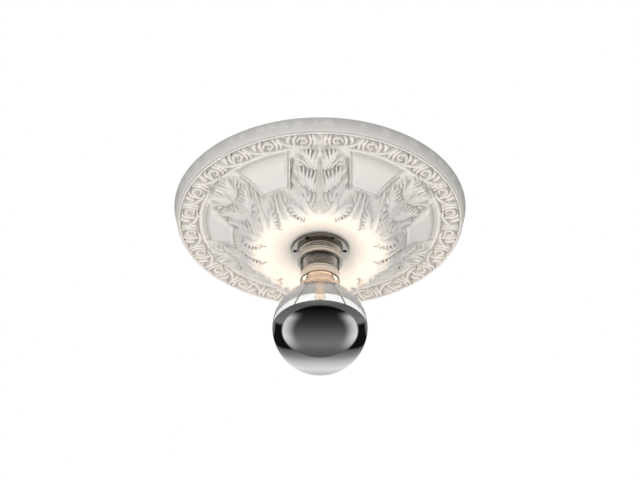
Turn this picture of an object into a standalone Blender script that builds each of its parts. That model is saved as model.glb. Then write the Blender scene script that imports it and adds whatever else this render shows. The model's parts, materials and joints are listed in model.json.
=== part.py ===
"""Cast plaster ceiling rose with a flanged lampholder and a half-mirrored globe bulb.

Metres, +Z up. The origin is the centre of the flat back, so the ceiling is the plane z = 0 and
everything hangs below it. A "drop" is a distance below the ceiling. Sizes written in
millimetres become metres in one place, with MM.
"""
import math

import bmesh
import bpy
import numpy as np
from mathutils import Matrix, Vector

MM = 0.001
GAP = 0.3                      # air between two pieces that touch

# Rose, driving sizes in millimetres
ROSE_RADIUS = 150.0
RIM_GROOVE_RADIUS = 146.4
RIM_GROOVE_DROP = 15.4
BEAD_RADIUS = 144.8
BEAD_DROP = 17.0
SCROLL_RADIUS = 134.0
SCROLL_OUTER = 143.2
SCROLL_INNER = 124.6
SCROLL_DROP = 17.4
SCROLL_GROUND_DROP = 11.4
LEDGE_DROP = 16.6
TIP_RADIUS = 122.0
FLANGE_SEAT_RADIUS = 31.5
FLANGE_SEAT_DROP = 50.0

# Ornament, counted round the rose
LEAVES = 6
SCROLLS = 24
LEAF_PITCH = 360.0 / LEAVES
SCROLL_PITCH = 360.0 / SCROLLS

# Crest of the ornament, as (radius, drop): the surface that leaves and tablets come up to
CREST = ((30, 50), (44, 52.8), (62, 58), (71, 56), (77, 51.5), (85, 41), (94.5, 32.3),
         (104, 26.2), (113, 22.2), (122, 18.6), (134, 17.6), (143.2, 17.4))
GROUND_DEPTH = ((62, 0), (68, 1.2), (76, 4.5), (100, 5), (118, 4.5), (124, 3.5))

# Tablet between two leaves, sizes in millimetres
TABLET_SIDE = 29.5             # from the axis of the leaf beside it
TABLET_FRAME = ((86.0, 35.6), (91.5, 33.4), (104, 22.5), (116, 17), (120.5, 14.2))
TABLET_FACE = ((90, 35.2), (91.8, 34.8), (95, 31.4), (113.3, 22))
TABLET_OUTER = 116.0
TABLET_INNER = 89.0
TABLET_CHAMFER = 3.0
TABLET_BORDER = 3.5
TABLET_GROOVE = 2.0
LEAF_GAP = 25.6                # where the deep slot beside a leaf starts
LEAF_GAP_DEPTH = 12.0
LEAF_GAP_START = 85.0          # radii between which it runs
LEAF_GAP_END = 111.0

# Lobes on one half of a leaf, from its tip down. Each has the root and tip of its main finger,
# then the tips of the side fingers above it, as (across, along) the leaf in millimetres.
LOBES = (                      # root, tip of the main finger, then tips of side fingers
    ((3.0, 93.0), (17.6, 118.8), (13.4, 121.4), (8.8, 122.0), (4.0, 122.0)),
    ((3.0, 88.5), (22.6, 111.8)),
    ((3.2, 85.0), (20.8, 106.4)),
    ((2.8, 77.0), (25.4, 99.4), (20.4, 102.6), (16.4, 102.4), (12.2, 100.2), (8.2, 99.4), (4.6, 98.4)),
    ((4.4, 66.5), (27.0, 90.4), (19.4, 85.6), (14.2, 84.8), (9.4, 82.4), (5.4, 81.2)),
)
DRILLS = ((17.9, 99.4), (14.6, 98.6), (10.0, 95.6), (6.6, 96.4), (16.6, 80.6), (11.6, 76.6), (7.2, 75.0))
DRILL_RADIUS = 1.15
DRILL_DEPTH = 4.0
MAIN_FINGER = 2.6              # half width of the main finger of a lobe
SIDE_FINGER = 1.75             # half width of a side finger
VEIN = 0.6                     # half width of the groove along a main finger
VEIN_DEPTH = 1.7
CLEARANCE = 1.0                # width of the hollow dug round a finger
HOLLOW_DEPTH = 4.2
BLADE_DEPTH = 1.5              # how far the blade of a leaf lies below its fingers
BLADE_EDGE = ((62, 13), (72, 17), (84, 22), (100, 21), (112, 17), (120, 8))
TIP_CURL = 2.6                 # how far the tip of a leaf curls off the rose
TIP_WIDTH = 9.0
TIP_HOLLOW_DROP = 13.0

# Small rolled leaf between two big ones, as (degrees from the leaf axis, radius)
ROLL_ROOT = (11.5, 66.5)
ROLL_TIPS = ((24.6, 78.6), (24.4, 74.6), (23.2, 70.8), (21.6, 67.0), (19.4, 63.4), (16.4, 61.4))
ROLL_FINGER = 1.45
ROLL_HOLE = (16.5, 58.0)
ROLL_HOLE_RADIUS = 2.0

# Palmette in front of the tablet: one half, as (degrees from its axis, radius)
PALMETTE_ROOT = (1.6, 63.0)
PALMETTE_TIPS = ((2.4, 86.0), (7.0, 84.4), (11.4, 80.6), (15.0, 76.4))
PALMETTE_FINGER = 1.7

# Mesh of the rose
RIM_COLUMNS = 72
RELIEF_COLUMNS = 720
RELIEF_START = 56.0
RELIEF_STEP = 0.9
ROSE_TRIANGLES = 6000          # left after the relief is thinned out

# Lampholder and bulb, sizes in millimetres
FLANGE_RADIUS = 30.3
FLANGE_FACE_RADIUS = 27.8
FLANGE_THICKNESS = 2.6
SCREW_CIRCLE = 25.3
SCREW_COUNT = 6
SCREW_HEAD_RADIUS = 2.0
SCREW_SHANK_RADIUS = 1.1
SCREW_LENGTH = 14.0
SLEEVE_RADIUS = 19.5
SLEEVE_WALL = 1.3
SLEEVE_MOUTH_DROP = 92.0
RING_RADIUS = 22.4
RING_TOP_DROP = 55.2
RING_HEIGHT = 13.6
RING_LIP_HEIGHT = 4.4
SLEEVE_THREAD_TOP = 69.4
SLEEVE_THREAD_END = 82.6
SLEEVE_GROOVE_DROP = 83.8
SLEEVE_THREADS = 4
THREAD_DEPTH = 0.7
SLOT_WIDTH = 4.2
SLOT_HEIGHT = 2.4
SLOT_DROP = 76.5
SLOT_ANGLE = -28.0
CORE_RADIUS = 17.6
CORE_BORE = 13.9
CORE_MOUTH_DROP = 86.5
CAP_RADIUS = 13.3
CAP_TOP_DROP = 62.5
CAP_SHELL_DROP = 68.0
CAP_FOOT_DROP = 89.0
BULB_RADIUS = 47.5
BULB_CENTRE_DROP = 148.5
NECK_RADIUS = 16.0
NECK_FILLET = 9.0


def material(name, colour, roughness, metallic=0.0):
    """One Principled material in linear colour."""
    made = bpy.data.materials.new(name)
    made.use_nodes = True
    shader = made.node_tree.nodes["Principled BSDF"]
    shader.inputs["Base Color"].default_value = (*colour, 1.0)
    shader.inputs["Roughness"].default_value = roughness
    shader.inputs["Metallic"].default_value = metallic
    return made


def add_object(name, mesh, finish, collection):
    """Link a mesh as a named object with one material."""
    made = bpy.data.objects.new(name, mesh)
    made.data.materials.append(finish)
    collection.objects.link(made)
    return made


def along(radius, points):
    """Smooth curve through a few (radius, value) points, flat past its ends."""
    known = np.array([p[0] for p in points], float)
    value = np.array([p[1] for p in points], float)
    slope = np.gradient(value, known)
    slope[0] = slope[-1] = 0.0
    r = np.clip(radius, known[0], known[-1])
    i = np.clip(np.searchsorted(known, r) - 1, 0, len(known) - 2)
    span = known[i + 1] - known[i]
    t = (r - known[i]) / span
    rise = value[i + 1] - value[i]
    near = slope[i] * span - rise
    far = rise - slope[i + 1] * span
    return value[i] + rise * t + t * (1 - t) * (near * (1 - t) + far * t)


def straight(radius, points):
    """Straight runs between a few (radius, value) points."""
    return np.interp(radius, [p[0] for p in points], [p[1] for p in points])


def flat_point(angle, radius):
    """A point given in degrees from an axis and millimetres, as (across, along) that axis."""
    turn = math.radians(angle)
    return (radius * math.sin(turn), radius * math.cos(turn))


def curve(root, bend, tip, pieces=8):
    """Points on a quadratic curve from root to tip."""
    t = np.linspace(0.0, 1.0, pieces + 1)[:, None]
    root, bend, tip = (np.array(p, float) for p in (root, bend, tip))
    return (1 - t) ** 2 * root + 2 * t * (1 - t) * bend + t ** 2 * tip


def blend(a, b, share):
    """The point that lies between two points."""
    return tuple((1 - share) * p + share * q for p, q in zip(a, b))


def near(across, up, line, margin):
    """Indices of the points that lie in the box of a line, widened by a margin."""
    low = line.min(axis=0) - margin
    high = line.max(axis=0) + margin
    return np.flatnonzero((across > low[0]) & (across < high[0]) & (up > low[1]) & (up < high[1]))


def reach(across, up, line, widths):
    """Distance to a line as a share of its half width there, and how far along it that is."""
    best = np.full(across.shape, np.inf)
    place = np.zeros(across.shape)
    count = len(line) - 1
    for i in range(count):
        start, step = line[i], line[i + 1] - line[i]
        t = ((across - start[0]) * step[0] + (up - start[1]) * step[1]) / step.dot(step)
        t = np.clip(t, 0.0, 1.0)
        away = np.hypot(across - start[0] - t * step[0], up - start[1] - t * step[1])
        where = (i + t) / count
        share = away / np.interp(where, (0.0, 0.65, 1.0), widths)
        closer = share < best
        best[closer] = share[closer]
        place[closer] = where[closer]
    return best, place


def finger(height, crest, across, up, line, width, lift, crown):
    """Raise one rounded finger of a leaf, flat at its root, out of the height map."""
    pick = near(across, up, line, width)
    share, place = reach(across[pick], up[pick], line, (0.55 * width, width, 0.6 * width))
    dome = np.sqrt(np.clip(1.0 - share ** 2, 0.0, 1.0))
    rounding = crown * np.clip(0.35 + 1.5 * place, 0.0, 1.0)
    top = crest[pick] + lift * np.sin(0.5 * math.pi * place) ** 2 - rounding * (1.0 - dome)
    height[pick] = np.where(share < 1.0, np.maximum(height[pick], top), height[pick])


def groove(height, across, up, line, width, depth):
    """Press a rounded groove that fades out at both ends into the height map."""
    pick = near(across, up, line, width)
    share, place = reach(across[pick], up[pick], line, (width, width, 0.6 * width))
    fade = np.clip(7.0 * np.minimum(place, 1.0 - place), 0.0, 1.0)
    height[pick] -= depth * fade * np.clip(1.0 - share ** 2, 0.0, 1.0)


def drill(height, across, up, centre, radius, depth):
    """Sink a small round hole into the height map."""
    away = np.hypot(across - centre[0], up - centre[1]) / radius
    height -= depth * np.clip(2.0 * (1.0 - away), 0.0, 1.0)


def bowed(root, tip, bow):
    """A curve from root to tip that bows to the left by a share of its length."""
    middle = blend(root, tip, 0.5)
    bend = (middle[0] - 2 * bow * (tip[1] - root[1]), middle[1] + 2 * bow * (tip[0] - root[0]))
    return curve(root, bend, tip)


def hollow(height, crest, across, up, line, width):
    """Dig round the outer part of a finger so that it stands clear of what lies behind it."""
    wide = width + CLEARANCE
    pick = near(across, up, line, wide)
    share, place = reach(across[pick], up[pick], line, (0.6 * wide, wide, 0.8 * wide))
    depth = HOLLOW_DEPTH * np.clip(3.0 * (1.0 - share), 0.0, 1.0)
    depth *= np.clip(4.0 * place - 1.8, 0.0, 1.0)
    height[pick] = np.minimum(height[pick], np.maximum(crest[pick] - depth, 0))


def fingers(height, crest, across, up, lines, lift, crown):
    """Raise fingers out of a hollow; each line comes with its half width."""
    for line, width in lines:
        hollow(height, crest, across, up, line, width)
    for line, width in lines:
        finger(height, crest, across, up, line, width, lift, crown)


def lobe(height, crest, across, up, root, tip, *sides):
    """Raise a lobe: a main finger, with side fingers that leave it and turn up the leaf."""
    lines = []
    for i, side in enumerate(sides):
        share = 0.62 * (1.0 - i / len(sides))
        start = blend(root, tip, share)
        bend = blend(start, tip, 0.35 * math.dist(start, side) / math.dist(start, tip))
        lines.append((curve(start, bend, side), SIDE_FINGER))
    rib = bowed(root, tip, 0.04)
    lines.append((rib, MAIN_FINGER))
    fingers(height, crest, across, up, lines, 1.2, 1.9)
    groove(height, across, up, rib, VEIN, VEIN_DEPTH)


def tablet(height, radius, across):
    """Raise the bordered tablet that fills the bay between two leaves."""
    inside = across - TABLET_SIDE
    bay = (inside > 0) & (radius < 120.6) & (radius > 86.0)
    frame = straight(radius, TABLET_FRAME)
    frame = frame + 0.8 * (inside < 1.5)
    frame = frame - TABLET_GROOVE * (np.abs(inside - 2.1) < 0.6)
    frame = frame - TABLET_GROOVE * (np.abs(radius - 116.7) < 0.6)
    frame = frame - TABLET_GROOVE * (np.abs(radius - 88.4) < 0.6)
    face = straight(radius, TABLET_FACE)
    rise = np.minimum(inside - TABLET_BORDER, TABLET_OUTER - radius)
    rise = np.minimum(rise, radius - TABLET_INNER) / TABLET_CHAMFER
    raised = frame + (face - frame) * np.clip(rise, 0.0, 1.0)
    height[bay] = raised[bay]


def scroll_unit(height, crest, across, up):
    """One running scroll: a ring round an eye, with pointed leaflets beside it."""
    turn = np.linspace(-0.75 * math.pi, 1.05 * math.pi, 15)[:, None]
    swell = 4.3 + 0.9 * (turn / math.pi)
    ring = np.hstack((-swell * np.cos(turn), swell * np.sin(turn)))
    finger(height, crest, across, up, ring, 1.75, 0.4, 1.3)
    finger(height, crest, across, up, curve((-0.6, 0), (0, 0), (0.6, 0), 2), 1.7, -0.8, 1.0)
    leaflets = (
        ((-6.4, -7.0), (-10.0, -1.0), (-7.2, 8.2), 2.0),
        ((-11.6, -7.0), (-13.6, 1.0), (-11.0, 8.6), 2.1),
        ((1.0, -7.4), (13.0, -10.0), (21.4, 1.0), 2.0),
        ((8.6, -5.0), (10.2, 3.0), (4.8, 8.4), 2.1),
        ((14.2, 0.0), (15.2, 4.0), (10.8, 8.6), 2.4),
    )
    for root, bend, tip, width in leaflets:
        finger(height, crest, across, up, curve(root, bend, tip), width, 0.3, 1.3)


def leaf_half(height, crest, radius, across, up):
    """One half of a big leaf, with its stem and the curled tip."""
    gap = (across > LEAF_GAP) & (across < TABLET_SIDE)
    gap = gap & (radius > LEAF_GAP_START) & (radius < LEAF_GAP_END)
    height[gap] = (crest - LEAF_GAP_DEPTH)[gap]
    blade = (across < straight(up, BLADE_EDGE)) & (up > 62) & (radius < TIP_RADIUS - 1.2)
    height[blade] = np.maximum(height, crest - BLADE_DEPTH)[blade]
    for shape in LOBES:
        lobe(height, crest, across, up, *shape)
    for centre in DRILLS:
        drill(height, across, up, centre, DRILL_RADIUS, DRILL_DEPTH)
    stem = curve((0, 60), (0, 90), (0, 120.5))
    finger(height, crest, across, up, stem, 3.4, 0.9, 1.4)
    for side in (0.9, 3.2):
        rib = curve((1.25 * side, 66), (side, 90), (0.5 * side, 118))
        groove(height, across, up, rib, 0.8, 1.8)
    curl = np.clip((radius - 110) / 11, 0, 1) ** 2 * np.clip(1 - (across / TIP_WIDTH) ** 2, 0, 1)
    height += np.where(radius < TIP_RADIUS, TIP_CURL * curl, 0)


def rolled_leaf(height, crest, across, up):
    """The small leaf that rolls over beside the root of a big one."""
    root = flat_point(*ROLL_ROOT)
    lines = [(bowed(root, flat_point(*tip), 0.15), ROLL_FINGER) for tip in ROLL_TIPS]
    fingers(height, crest, across, up, lines, 1.2, 2.0)
    drill(height, across, up, flat_point(*ROLL_HOLE), ROLL_HOLE_RADIUS, DRILL_DEPTH)


def palmette_half(height, crest, across, up):
    """One half of the palmette in front of a tablet."""
    lines = [(bowed(PALMETTE_ROOT, tip, -0.06), PALMETTE_FINGER) for tip in PALMETTE_TIPS]
    fingers(height, crest, across, up, lines, 1.2, 2.2)


def rose_drop(radius, angle):
    """Drop of the carved face in millimetres at a radius and an angle in degrees."""
    crest = along(radius, CREST)
    height = crest - along(radius, GROUND_DEPTH)
    fold = np.abs((angle + 0.5 * LEAF_PITCH) % LEAF_PITCH - 0.5 * LEAF_PITCH)
    turn = np.radians(fold)
    across, up = radius * np.sin(turn), radius * np.cos(turn)
    side = np.radians(0.5 * LEAF_PITCH - fold)
    p_across, p_up = radius * np.sin(side), radius * np.cos(side)
    tablet(height, radius, across)
    palmette_half(height, crest, p_across, p_up)
    rolled_leaf(height, crest, across, up)
    leaf_half(height, crest, radius, across, up)
    ledge = (radius > TIP_RADIUS - 1.2) & (radius < SCROLL_INNER)
    height[ledge] = np.maximum(height, LEDGE_DROP)[ledge]
    height[radius >= SCROLL_INNER] = SCROLL_GROUND_DROP
    behind = (radius > TIP_RADIUS) & (radius < SCROLL_INNER + 2.5) & (across < TIP_WIDTH)
    height[behind] = TIP_HOLLOW_DROP
    belt = np.flatnonzero((radius > SCROLL_INNER) & (radius < SCROLL_OUTER))
    run = np.abs((angle[belt] + 180.0) % 360.0 - 180.0)
    ring = height[belt]
    level = np.full(belt.shape, SCROLL_DROP)
    for shift in (-1, 0, 1):
        offset = run % SCROLL_PITCH - 0.5 * SCROLL_PITCH + shift * SCROLL_PITCH
        scroll_across = SCROLL_RADIUS * np.radians(offset)
        scroll_unit(ring, level, scroll_across, radius[belt] - SCROLL_RADIUS)
    height[belt] = ring
    height[radius <= FLANGE_SEAT_RADIUS] = FLANGE_SEAT_DROP
    return height


def rose_radii():
    """Radii of the rings of the carved face, from its rim to its centre."""
    carved = np.arange(SCROLL_OUTER, RELIEF_START, -RELIEF_STEP)
    boss = (53, 49, 44, 39, 35, FLANGE_SEAT_RADIUS + 0.1, FLANGE_SEAT_RADIUS)
    return (*carved, *boss)


def thin_rim(bm, rim):
    """Weld the columns of the plain rim together, ten by ten or so, down to RIM_COLUMNS."""
    step = math.tau / RIM_COLUMNS
    posts = {}
    for vert in rim:
        turn = math.atan2(vert.co.y, vert.co.x) / step
        ring = (round(vert.co.xy.length / MM, 2), round(vert.co.z / MM, 2))
        key = (ring, round(turn) % RIM_COLUMNS)
        posts.setdefault(key, []).append((abs(turn - round(turn)), vert.index, vert))
    targets = {}
    for group in posts.values():
        group.sort()
        targets.update({vert: group[0][2] for _, _, vert in group[1:]})
    bmesh.ops.weld_verts(bm, targetmap=targets)


def make_rose(finish, collection):
    """Spin the half section, press the relief into its face and thin both out."""
    rim = [(0, 0), (ROSE_RADIUS, 0), (RIM_GROOVE_RADIUS + 0.5, RIM_GROOVE_DROP),
           (RIM_GROOVE_RADIUS - 0.2, RIM_GROOVE_DROP - 1.2), (BEAD_RADIUS, BEAD_DROP),
           (SCROLL_OUTER + 0.5, BEAD_DROP - 0.8)]
    section = [*rim, *((r, BEAD_DROP) for r in rose_radii()), (0, BEAD_DROP)]
    blank = turned("rose_blank", section, RELIEF_COLUMNS, finish, collection)
    bm = bmesh.new()
    bm.from_object(blank, bpy.context.evaluated_depsgraph_get())
    bpy.data.objects.remove(blank, do_unlink=True)
    bm.verts.index_update()
    edge = (SCROLL_OUTER + 0.2) * MM
    face = [v for v in bm.verts if v.co.xy.length < edge and v.co.z < 0]
    place = np.array([v.co.xy for v in face]) / MM
    angle = np.degrees(np.arctan2(place[:, 0], -place[:, 1]))
    drops = rose_drop(np.hypot(place[:, 0], place[:, 1]), angle)
    thin_rim(bm, [v for v in bm.verts if v.co.xy.length > edge])
    for vert, drop in zip(face, drops):
        vert.co.z = -drop * MM
    bmesh.ops.recalc_face_normals(bm, faces=bm.faces)
    bm.verts.index_update()
    relief = [v.index for v in face]
    mesh = bpy.data.meshes.new("plaster_rose")
    bm.to_mesh(mesh)
    bm.free()
    rose = add_object("plaster_rose", mesh, finish, collection)
    rose.vertex_groups.new(name="relief").add(relief, 1.0, "REPLACE")
    thin = rose.modifiers.new("fewer faces", "DECIMATE")
    thin.ratio = ROSE_TRIANGLES / sum(len(f.vertices) - 2 for f in mesh.polygons)
    thin.vertex_group = "relief"
    return rose


def turned(name, outline, steps, finish, collection, closed=False):
    """A turned piece from its (radius, drop) outline, which runs down its outer side."""
    points = [(r * MM, 0.0, -drop * MM) for r, drop in outline]
    edges = [(i, i + 1) for i in range(len(points) - 1)]
    if closed:
        edges.append((len(points) - 1, 0))
    mesh = bpy.data.meshes.new(name)
    mesh.from_pydata(points, edges, [])
    made = add_object(name, mesh, finish, collection)
    screw = made.modifiers.new("turn", "SCREW")
    screw.steps = screw.render_steps = steps
    screw.use_merge_vertices = True
    screw.merge_threshold = 0.00001
    screw.use_smooth_shade = True
    return made


def cut(target, cutter):
    """Take a cutter's shape out of a piece."""
    cutter.hide_render = True
    cutter.display_type = "WIRE"
    taken = target.modifiers.new("cut " + cutter.name, "BOOLEAN")
    taken.operation = "DIFFERENCE"
    taken.object = cutter


def screw_places():
    """Centres of the flange screws, in millimetres."""
    turns = (math.radians(30 + 360 * i / SCREW_COUNT) for i in range(SCREW_COUNT))
    return [(SCREW_CIRCLE * math.sin(t), -SCREW_CIRCLE * math.cos(t)) for t in turns]


def holes(name, outline, steps, finish, cutters):
    """One cutter made of a turned plug at each screw."""
    bm = bmesh.new()
    for x, y in screw_places():
        plug = [bm.verts.new((x * MM + r * MM, y * MM, -drop * MM)) for r, drop in outline]
        rail = [bm.edges.new(pair) for pair in zip(plug, plug[1:])]
        bmesh.ops.spin(bm, geom=plug + rail, axis=(0, 0, 1), cent=(x * MM, y * MM, 0),
                       steps=steps, angle=2 * math.pi, use_merge=True)
    bmesh.ops.remove_doubles(bm, verts=bm.verts, dist=1e-7)
    bmesh.ops.recalc_face_normals(bm, faces=bm.faces)
    mesh = bpy.data.meshes.new(name)
    bm.to_mesh(mesh)
    bm.free()
    return add_object(name, mesh, finish, cutters)


def make_flange(finish, collection, cutters):
    """Round plate with a rounded edge that screws to the rose."""
    top = FLANGE_SEAT_DROP + GAP
    face = top + FLANGE_THICKNESS
    outline = ((0, top), (FLANGE_RADIUS, top), (FLANGE_RADIUS, top + 0.8),
               (FLANGE_RADIUS - 0.9, face - 0.5), (FLANGE_FACE_RADIUS, face), (0, face))
    flange = turned("holder_flange", outline, 32, finish, collection)
    clear = SCREW_SHANK_RADIUS + GAP
    sink = SCREW_HEAD_RADIUS + GAP
    plug = ((0, top - 1), (clear, top - 1), (clear, top + 1.0), (sink, top + 1.6),
            (sink, face + 1), (0, face + 1))
    cut(flange, holes("flange_hole_cutter", plug, 6, finish, cutters))
    return flange


def make_screws(finish, collection):
    """Countersunk screws that hold the flange to the rose."""
    top = FLANGE_SEAT_DROP + GAP
    face = top + FLANGE_THICKNESS
    tip = FLANGE_SEAT_DROP - SCREW_LENGTH
    outline = ((0, tip), (SCREW_SHANK_RADIUS, tip + 2.0), (SCREW_SHANK_RADIUS, top + 1.3),
               (SCREW_HEAD_RADIUS, top + 1.9), (SCREW_HEAD_RADIUS, face - 0.3), (0, face - 0.3))
    for i, (x, y) in enumerate(screw_places()):
        made = turned(f"flange_screw_{i + 1}", outline, 6, finish, collection)
        made.location = (x * MM, y * MM, 0)


def make_sleeve(finish, collection, cutters):
    """Threaded cup of the lampholder, open at the mouth, with a small latch slot."""
    top = FLANGE_SEAT_DROP + FLANGE_THICKNESS + 2 * GAP
    outer = [(0, top), (SLEEVE_RADIUS, top), (SLEEVE_RADIUS, SLEEVE_THREAD_TOP)]
    pitch = (SLEEVE_THREAD_END - SLEEVE_THREAD_TOP) / SLEEVE_THREADS
    for i in range(SLEEVE_THREADS):
        start = SLEEVE_THREAD_TOP + i * pitch
        outer.append((SLEEVE_RADIUS - THREAD_DEPTH, start + 0.5 * pitch))
        outer.append((SLEEVE_RADIUS, start + pitch))
    outer += [(SLEEVE_RADIUS - THREAD_DEPTH, SLEEVE_GROOVE_DROP),
              (SLEEVE_RADIUS, SLEEVE_GROOVE_DROP + 0.5)]
    inner = SLEEVE_RADIUS - SLEEVE_WALL
    outer += [(SLEEVE_RADIUS, SLEEVE_MOUTH_DROP - 3.0), (SLEEVE_RADIUS + 0.8, SLEEVE_MOUTH_DROP),
              (inner, SLEEVE_MOUTH_DROP), (inner, top + SLEEVE_WALL), (0, top + SLEEVE_WALL)]
    sleeve = turned("holder_sleeve", outer, 26, finish, collection)
    bpy.ops.mesh.primitive_cube_add(size=1.0)
    slot = bpy.context.object
    slot.name = "slot_cutter"
    slot.data.transform(Matrix.Diagonal((SLOT_WIDTH * MM, 4 * MM, SLOT_HEIGHT * MM, 1)))
    turn = math.radians(SLOT_ANGLE)
    out = Vector((math.sin(turn), -math.cos(turn), 0)) * SLEEVE_RADIUS * MM
    slot.matrix_world = Matrix.Translation(out + Vector((0, 0, -SLOT_DROP * MM))) \
        @ Matrix.Rotation(turn, 4, "Z")
    bpy.context.collection.objects.unlink(slot)
    cutters.objects.link(slot)
    cut(sleeve, slot)
    return sleeve


def make_shade_ring(finish, collection):
    """Threaded ring that runs on the upper part of the sleeve."""
    bore = SLEEVE_RADIUS + GAP
    low = RING_TOP_DROP + RING_HEIGHT
    lip = low - RING_LIP_HEIGHT
    ribs = 3
    pitch = (lip - RING_TOP_DROP) / ribs
    outline = [(bore, RING_TOP_DROP)]
    for i in range(ribs):
        start = RING_TOP_DROP + pitch * i
        outline.append((RING_RADIUS - 0.6, start))
        outline.append((RING_RADIUS, start + 0.5 * pitch))
    outline += [(RING_RADIUS - 0.6, lip), (RING_RADIUS + 0.7, lip + 0.9),
                (RING_RADIUS + 0.7, low - 0.9), (RING_RADIUS, low), (bore, low)]
    return turned("shade_ring", outline, 26, finish, collection, closed=True)


def make_core(finish, collection):
    """Ceramic core inside the sleeve, which takes the bulb's cap."""
    top = FLANGE_SEAT_DROP + FLANGE_THICKNESS + 3 * GAP + SLEEVE_WALL
    outline = ((0, top), (CORE_RADIUS, top), (CORE_RADIUS, CORE_MOUTH_DROP),
               (CORE_BORE, CORE_MOUTH_DROP), (CORE_BORE, CAP_TOP_DROP - GAP),
               (0, CAP_TOP_DROP - GAP))
    return turned("holder_core", outline, 16, finish, collection)


def make_cap(finish, collection):
    """Screw cap of the bulb, with its insulated contact."""
    outline = [(0, CAP_TOP_DROP), (5.0, CAP_TOP_DROP), (5.5, CAP_TOP_DROP + 2.0),
               (CAP_RADIUS - 1.2, CAP_SHELL_DROP)]
    turns = 3
    pitch = 4.8
    for i in range(turns):
        start = CAP_SHELL_DROP + 1.0 + pitch * i
        outline.append((CAP_RADIUS, start + 0.5 * pitch))
        outline.append((CAP_RADIUS - 1.2, start + pitch))
    outline += [(CAP_RADIUS, CAP_FOOT_DROP - 3.0), (CAP_RADIUS, CAP_FOOT_DROP), (0, CAP_FOOT_DROP)]
    return turned("bulb_cap", outline, 16, finish, collection)


def bulb_outline():
    """Neck, fillet and globe of the bulb, from the cap down to the lowest point."""
    reach_out = NECK_RADIUS + NECK_FILLET
    below = math.sqrt((BULB_RADIUS + NECK_FILLET) ** 2 - reach_out ** 2)
    middle = BULB_CENTRE_DROP - below
    outline = [(0, CAP_FOOT_DROP + GAP), (CAP_RADIUS, CAP_FOOT_DROP + GAP),
               (NECK_RADIUS, CAP_FOOT_DROP + 3.0), (NECK_RADIUS, middle)]
    swing = math.atan2(below, reach_out)
    for i in range(1, 4):
        turn = swing * i / 3
        outline.append((reach_out - NECK_FILLET * math.cos(turn),
                        middle + NECK_FILLET * math.sin(turn)))
    start = math.atan2(reach_out, below)
    for i in range(1, 12):
        turn = start + (math.pi - start) * i / 11
        outline.append((BULB_RADIUS * math.sin(turn),
                        BULB_CENTRE_DROP - BULB_RADIUS * math.cos(turn)))
    outline[-1] = (0, BULB_CENTRE_DROP + BULB_RADIUS)
    return outline


def main():
    """Clear the scene and model every piece of the fitting."""
    for old in list(bpy.data.objects):
        bpy.data.objects.remove(old, do_unlink=True)
    collection = bpy.data.collections.new("plaster_ceiling_rose")
    cutters = bpy.data.collections.new("cutters")
    bpy.context.scene.collection.children.link(collection)
    bpy.context.scene.collection.children.link(cutters)

    plaster = material("cast_plaster", (0.80, 0.77, 0.72), 0.8)
    plated = material("plated_steel", (0.62, 0.61, 0.60), 0.12, 1.0)
    screw_steel = material("dark_steel", (0.10, 0.10, 0.10), 0.4, 1.0)
    porcelain = material("porcelain", (0.78, 0.77, 0.74), 0.3)
    brass = material("nickel_brass", (0.60, 0.57, 0.50), 0.3, 1.0)
    glass = material("bulb_glass", (0.75, 0.76, 0.77), 0.05)

    rose = make_rose(plaster, collection)
    pilot = SCREW_SHANK_RADIUS + GAP
    tip = FLANGE_SEAT_DROP - SCREW_LENGTH - 1.0
    plug = ((0, tip), (pilot, tip), (pilot, FLANGE_SEAT_DROP + 1), (0, FLANGE_SEAT_DROP + 1))
    cut(rose, holes("pilot_hole_cutter", plug, 6, plaster, cutters))
    make_flange(plated, collection, cutters)
    make_screws(screw_steel, collection)
    make_sleeve(plated, collection, cutters)
    make_shade_ring(plated, collection)
    make_core(porcelain, collection)
    make_cap(brass, collection)
    turned("bulb_glass", bulb_outline(), 30, glass, collection)


main()
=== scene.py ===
"""Plaster ceiling rose with a flanged lampholder and a half-mirrored globe bulb.

Metres, +Z up. The origin is the centre of the flat back, on the ceiling, and everything hangs
below it. A "drop" is a distance below the ceiling. Sizes written in millimetres are turned to
metres with MM. The frame of solids is loaded first, and every piece here stands on it.
"""
import json
import math

import bmesh
import bpy
import numpy as np
from bpy.props import FloatProperty, IntProperty, PointerProperty, StringProperty
from mathutils import Matrix, Vector

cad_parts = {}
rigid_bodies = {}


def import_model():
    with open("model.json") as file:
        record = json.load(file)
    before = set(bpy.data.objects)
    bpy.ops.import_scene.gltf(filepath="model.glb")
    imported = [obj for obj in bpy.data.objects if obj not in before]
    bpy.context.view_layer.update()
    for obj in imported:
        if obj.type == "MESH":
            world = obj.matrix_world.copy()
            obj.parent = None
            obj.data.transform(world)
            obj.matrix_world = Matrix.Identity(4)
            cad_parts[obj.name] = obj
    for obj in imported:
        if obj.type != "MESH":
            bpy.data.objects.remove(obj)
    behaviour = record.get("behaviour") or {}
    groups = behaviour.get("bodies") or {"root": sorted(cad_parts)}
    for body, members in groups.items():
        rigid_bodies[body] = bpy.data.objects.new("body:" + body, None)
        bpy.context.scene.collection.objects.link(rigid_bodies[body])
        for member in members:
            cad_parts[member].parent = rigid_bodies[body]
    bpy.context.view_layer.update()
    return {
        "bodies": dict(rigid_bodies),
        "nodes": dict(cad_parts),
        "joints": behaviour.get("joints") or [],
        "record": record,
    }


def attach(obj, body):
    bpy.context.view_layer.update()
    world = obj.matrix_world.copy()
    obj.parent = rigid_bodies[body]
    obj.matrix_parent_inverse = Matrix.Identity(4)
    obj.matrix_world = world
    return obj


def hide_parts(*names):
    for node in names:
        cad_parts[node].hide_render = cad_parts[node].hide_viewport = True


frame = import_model()

bl_info = {
    "name": "Plaster ceiling rose",
    "version": (1, 0, 0),
    "blender": (4, 5, 0),
    "location": "View3D > Sidebar > Rose",
    "description": "Models a cast ceiling rose with its lampholder, bulb and studio",
    "category": "Add Mesh",
}

MM = 0.001
GAP = 0.3                      # air between two pieces that touch

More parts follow.
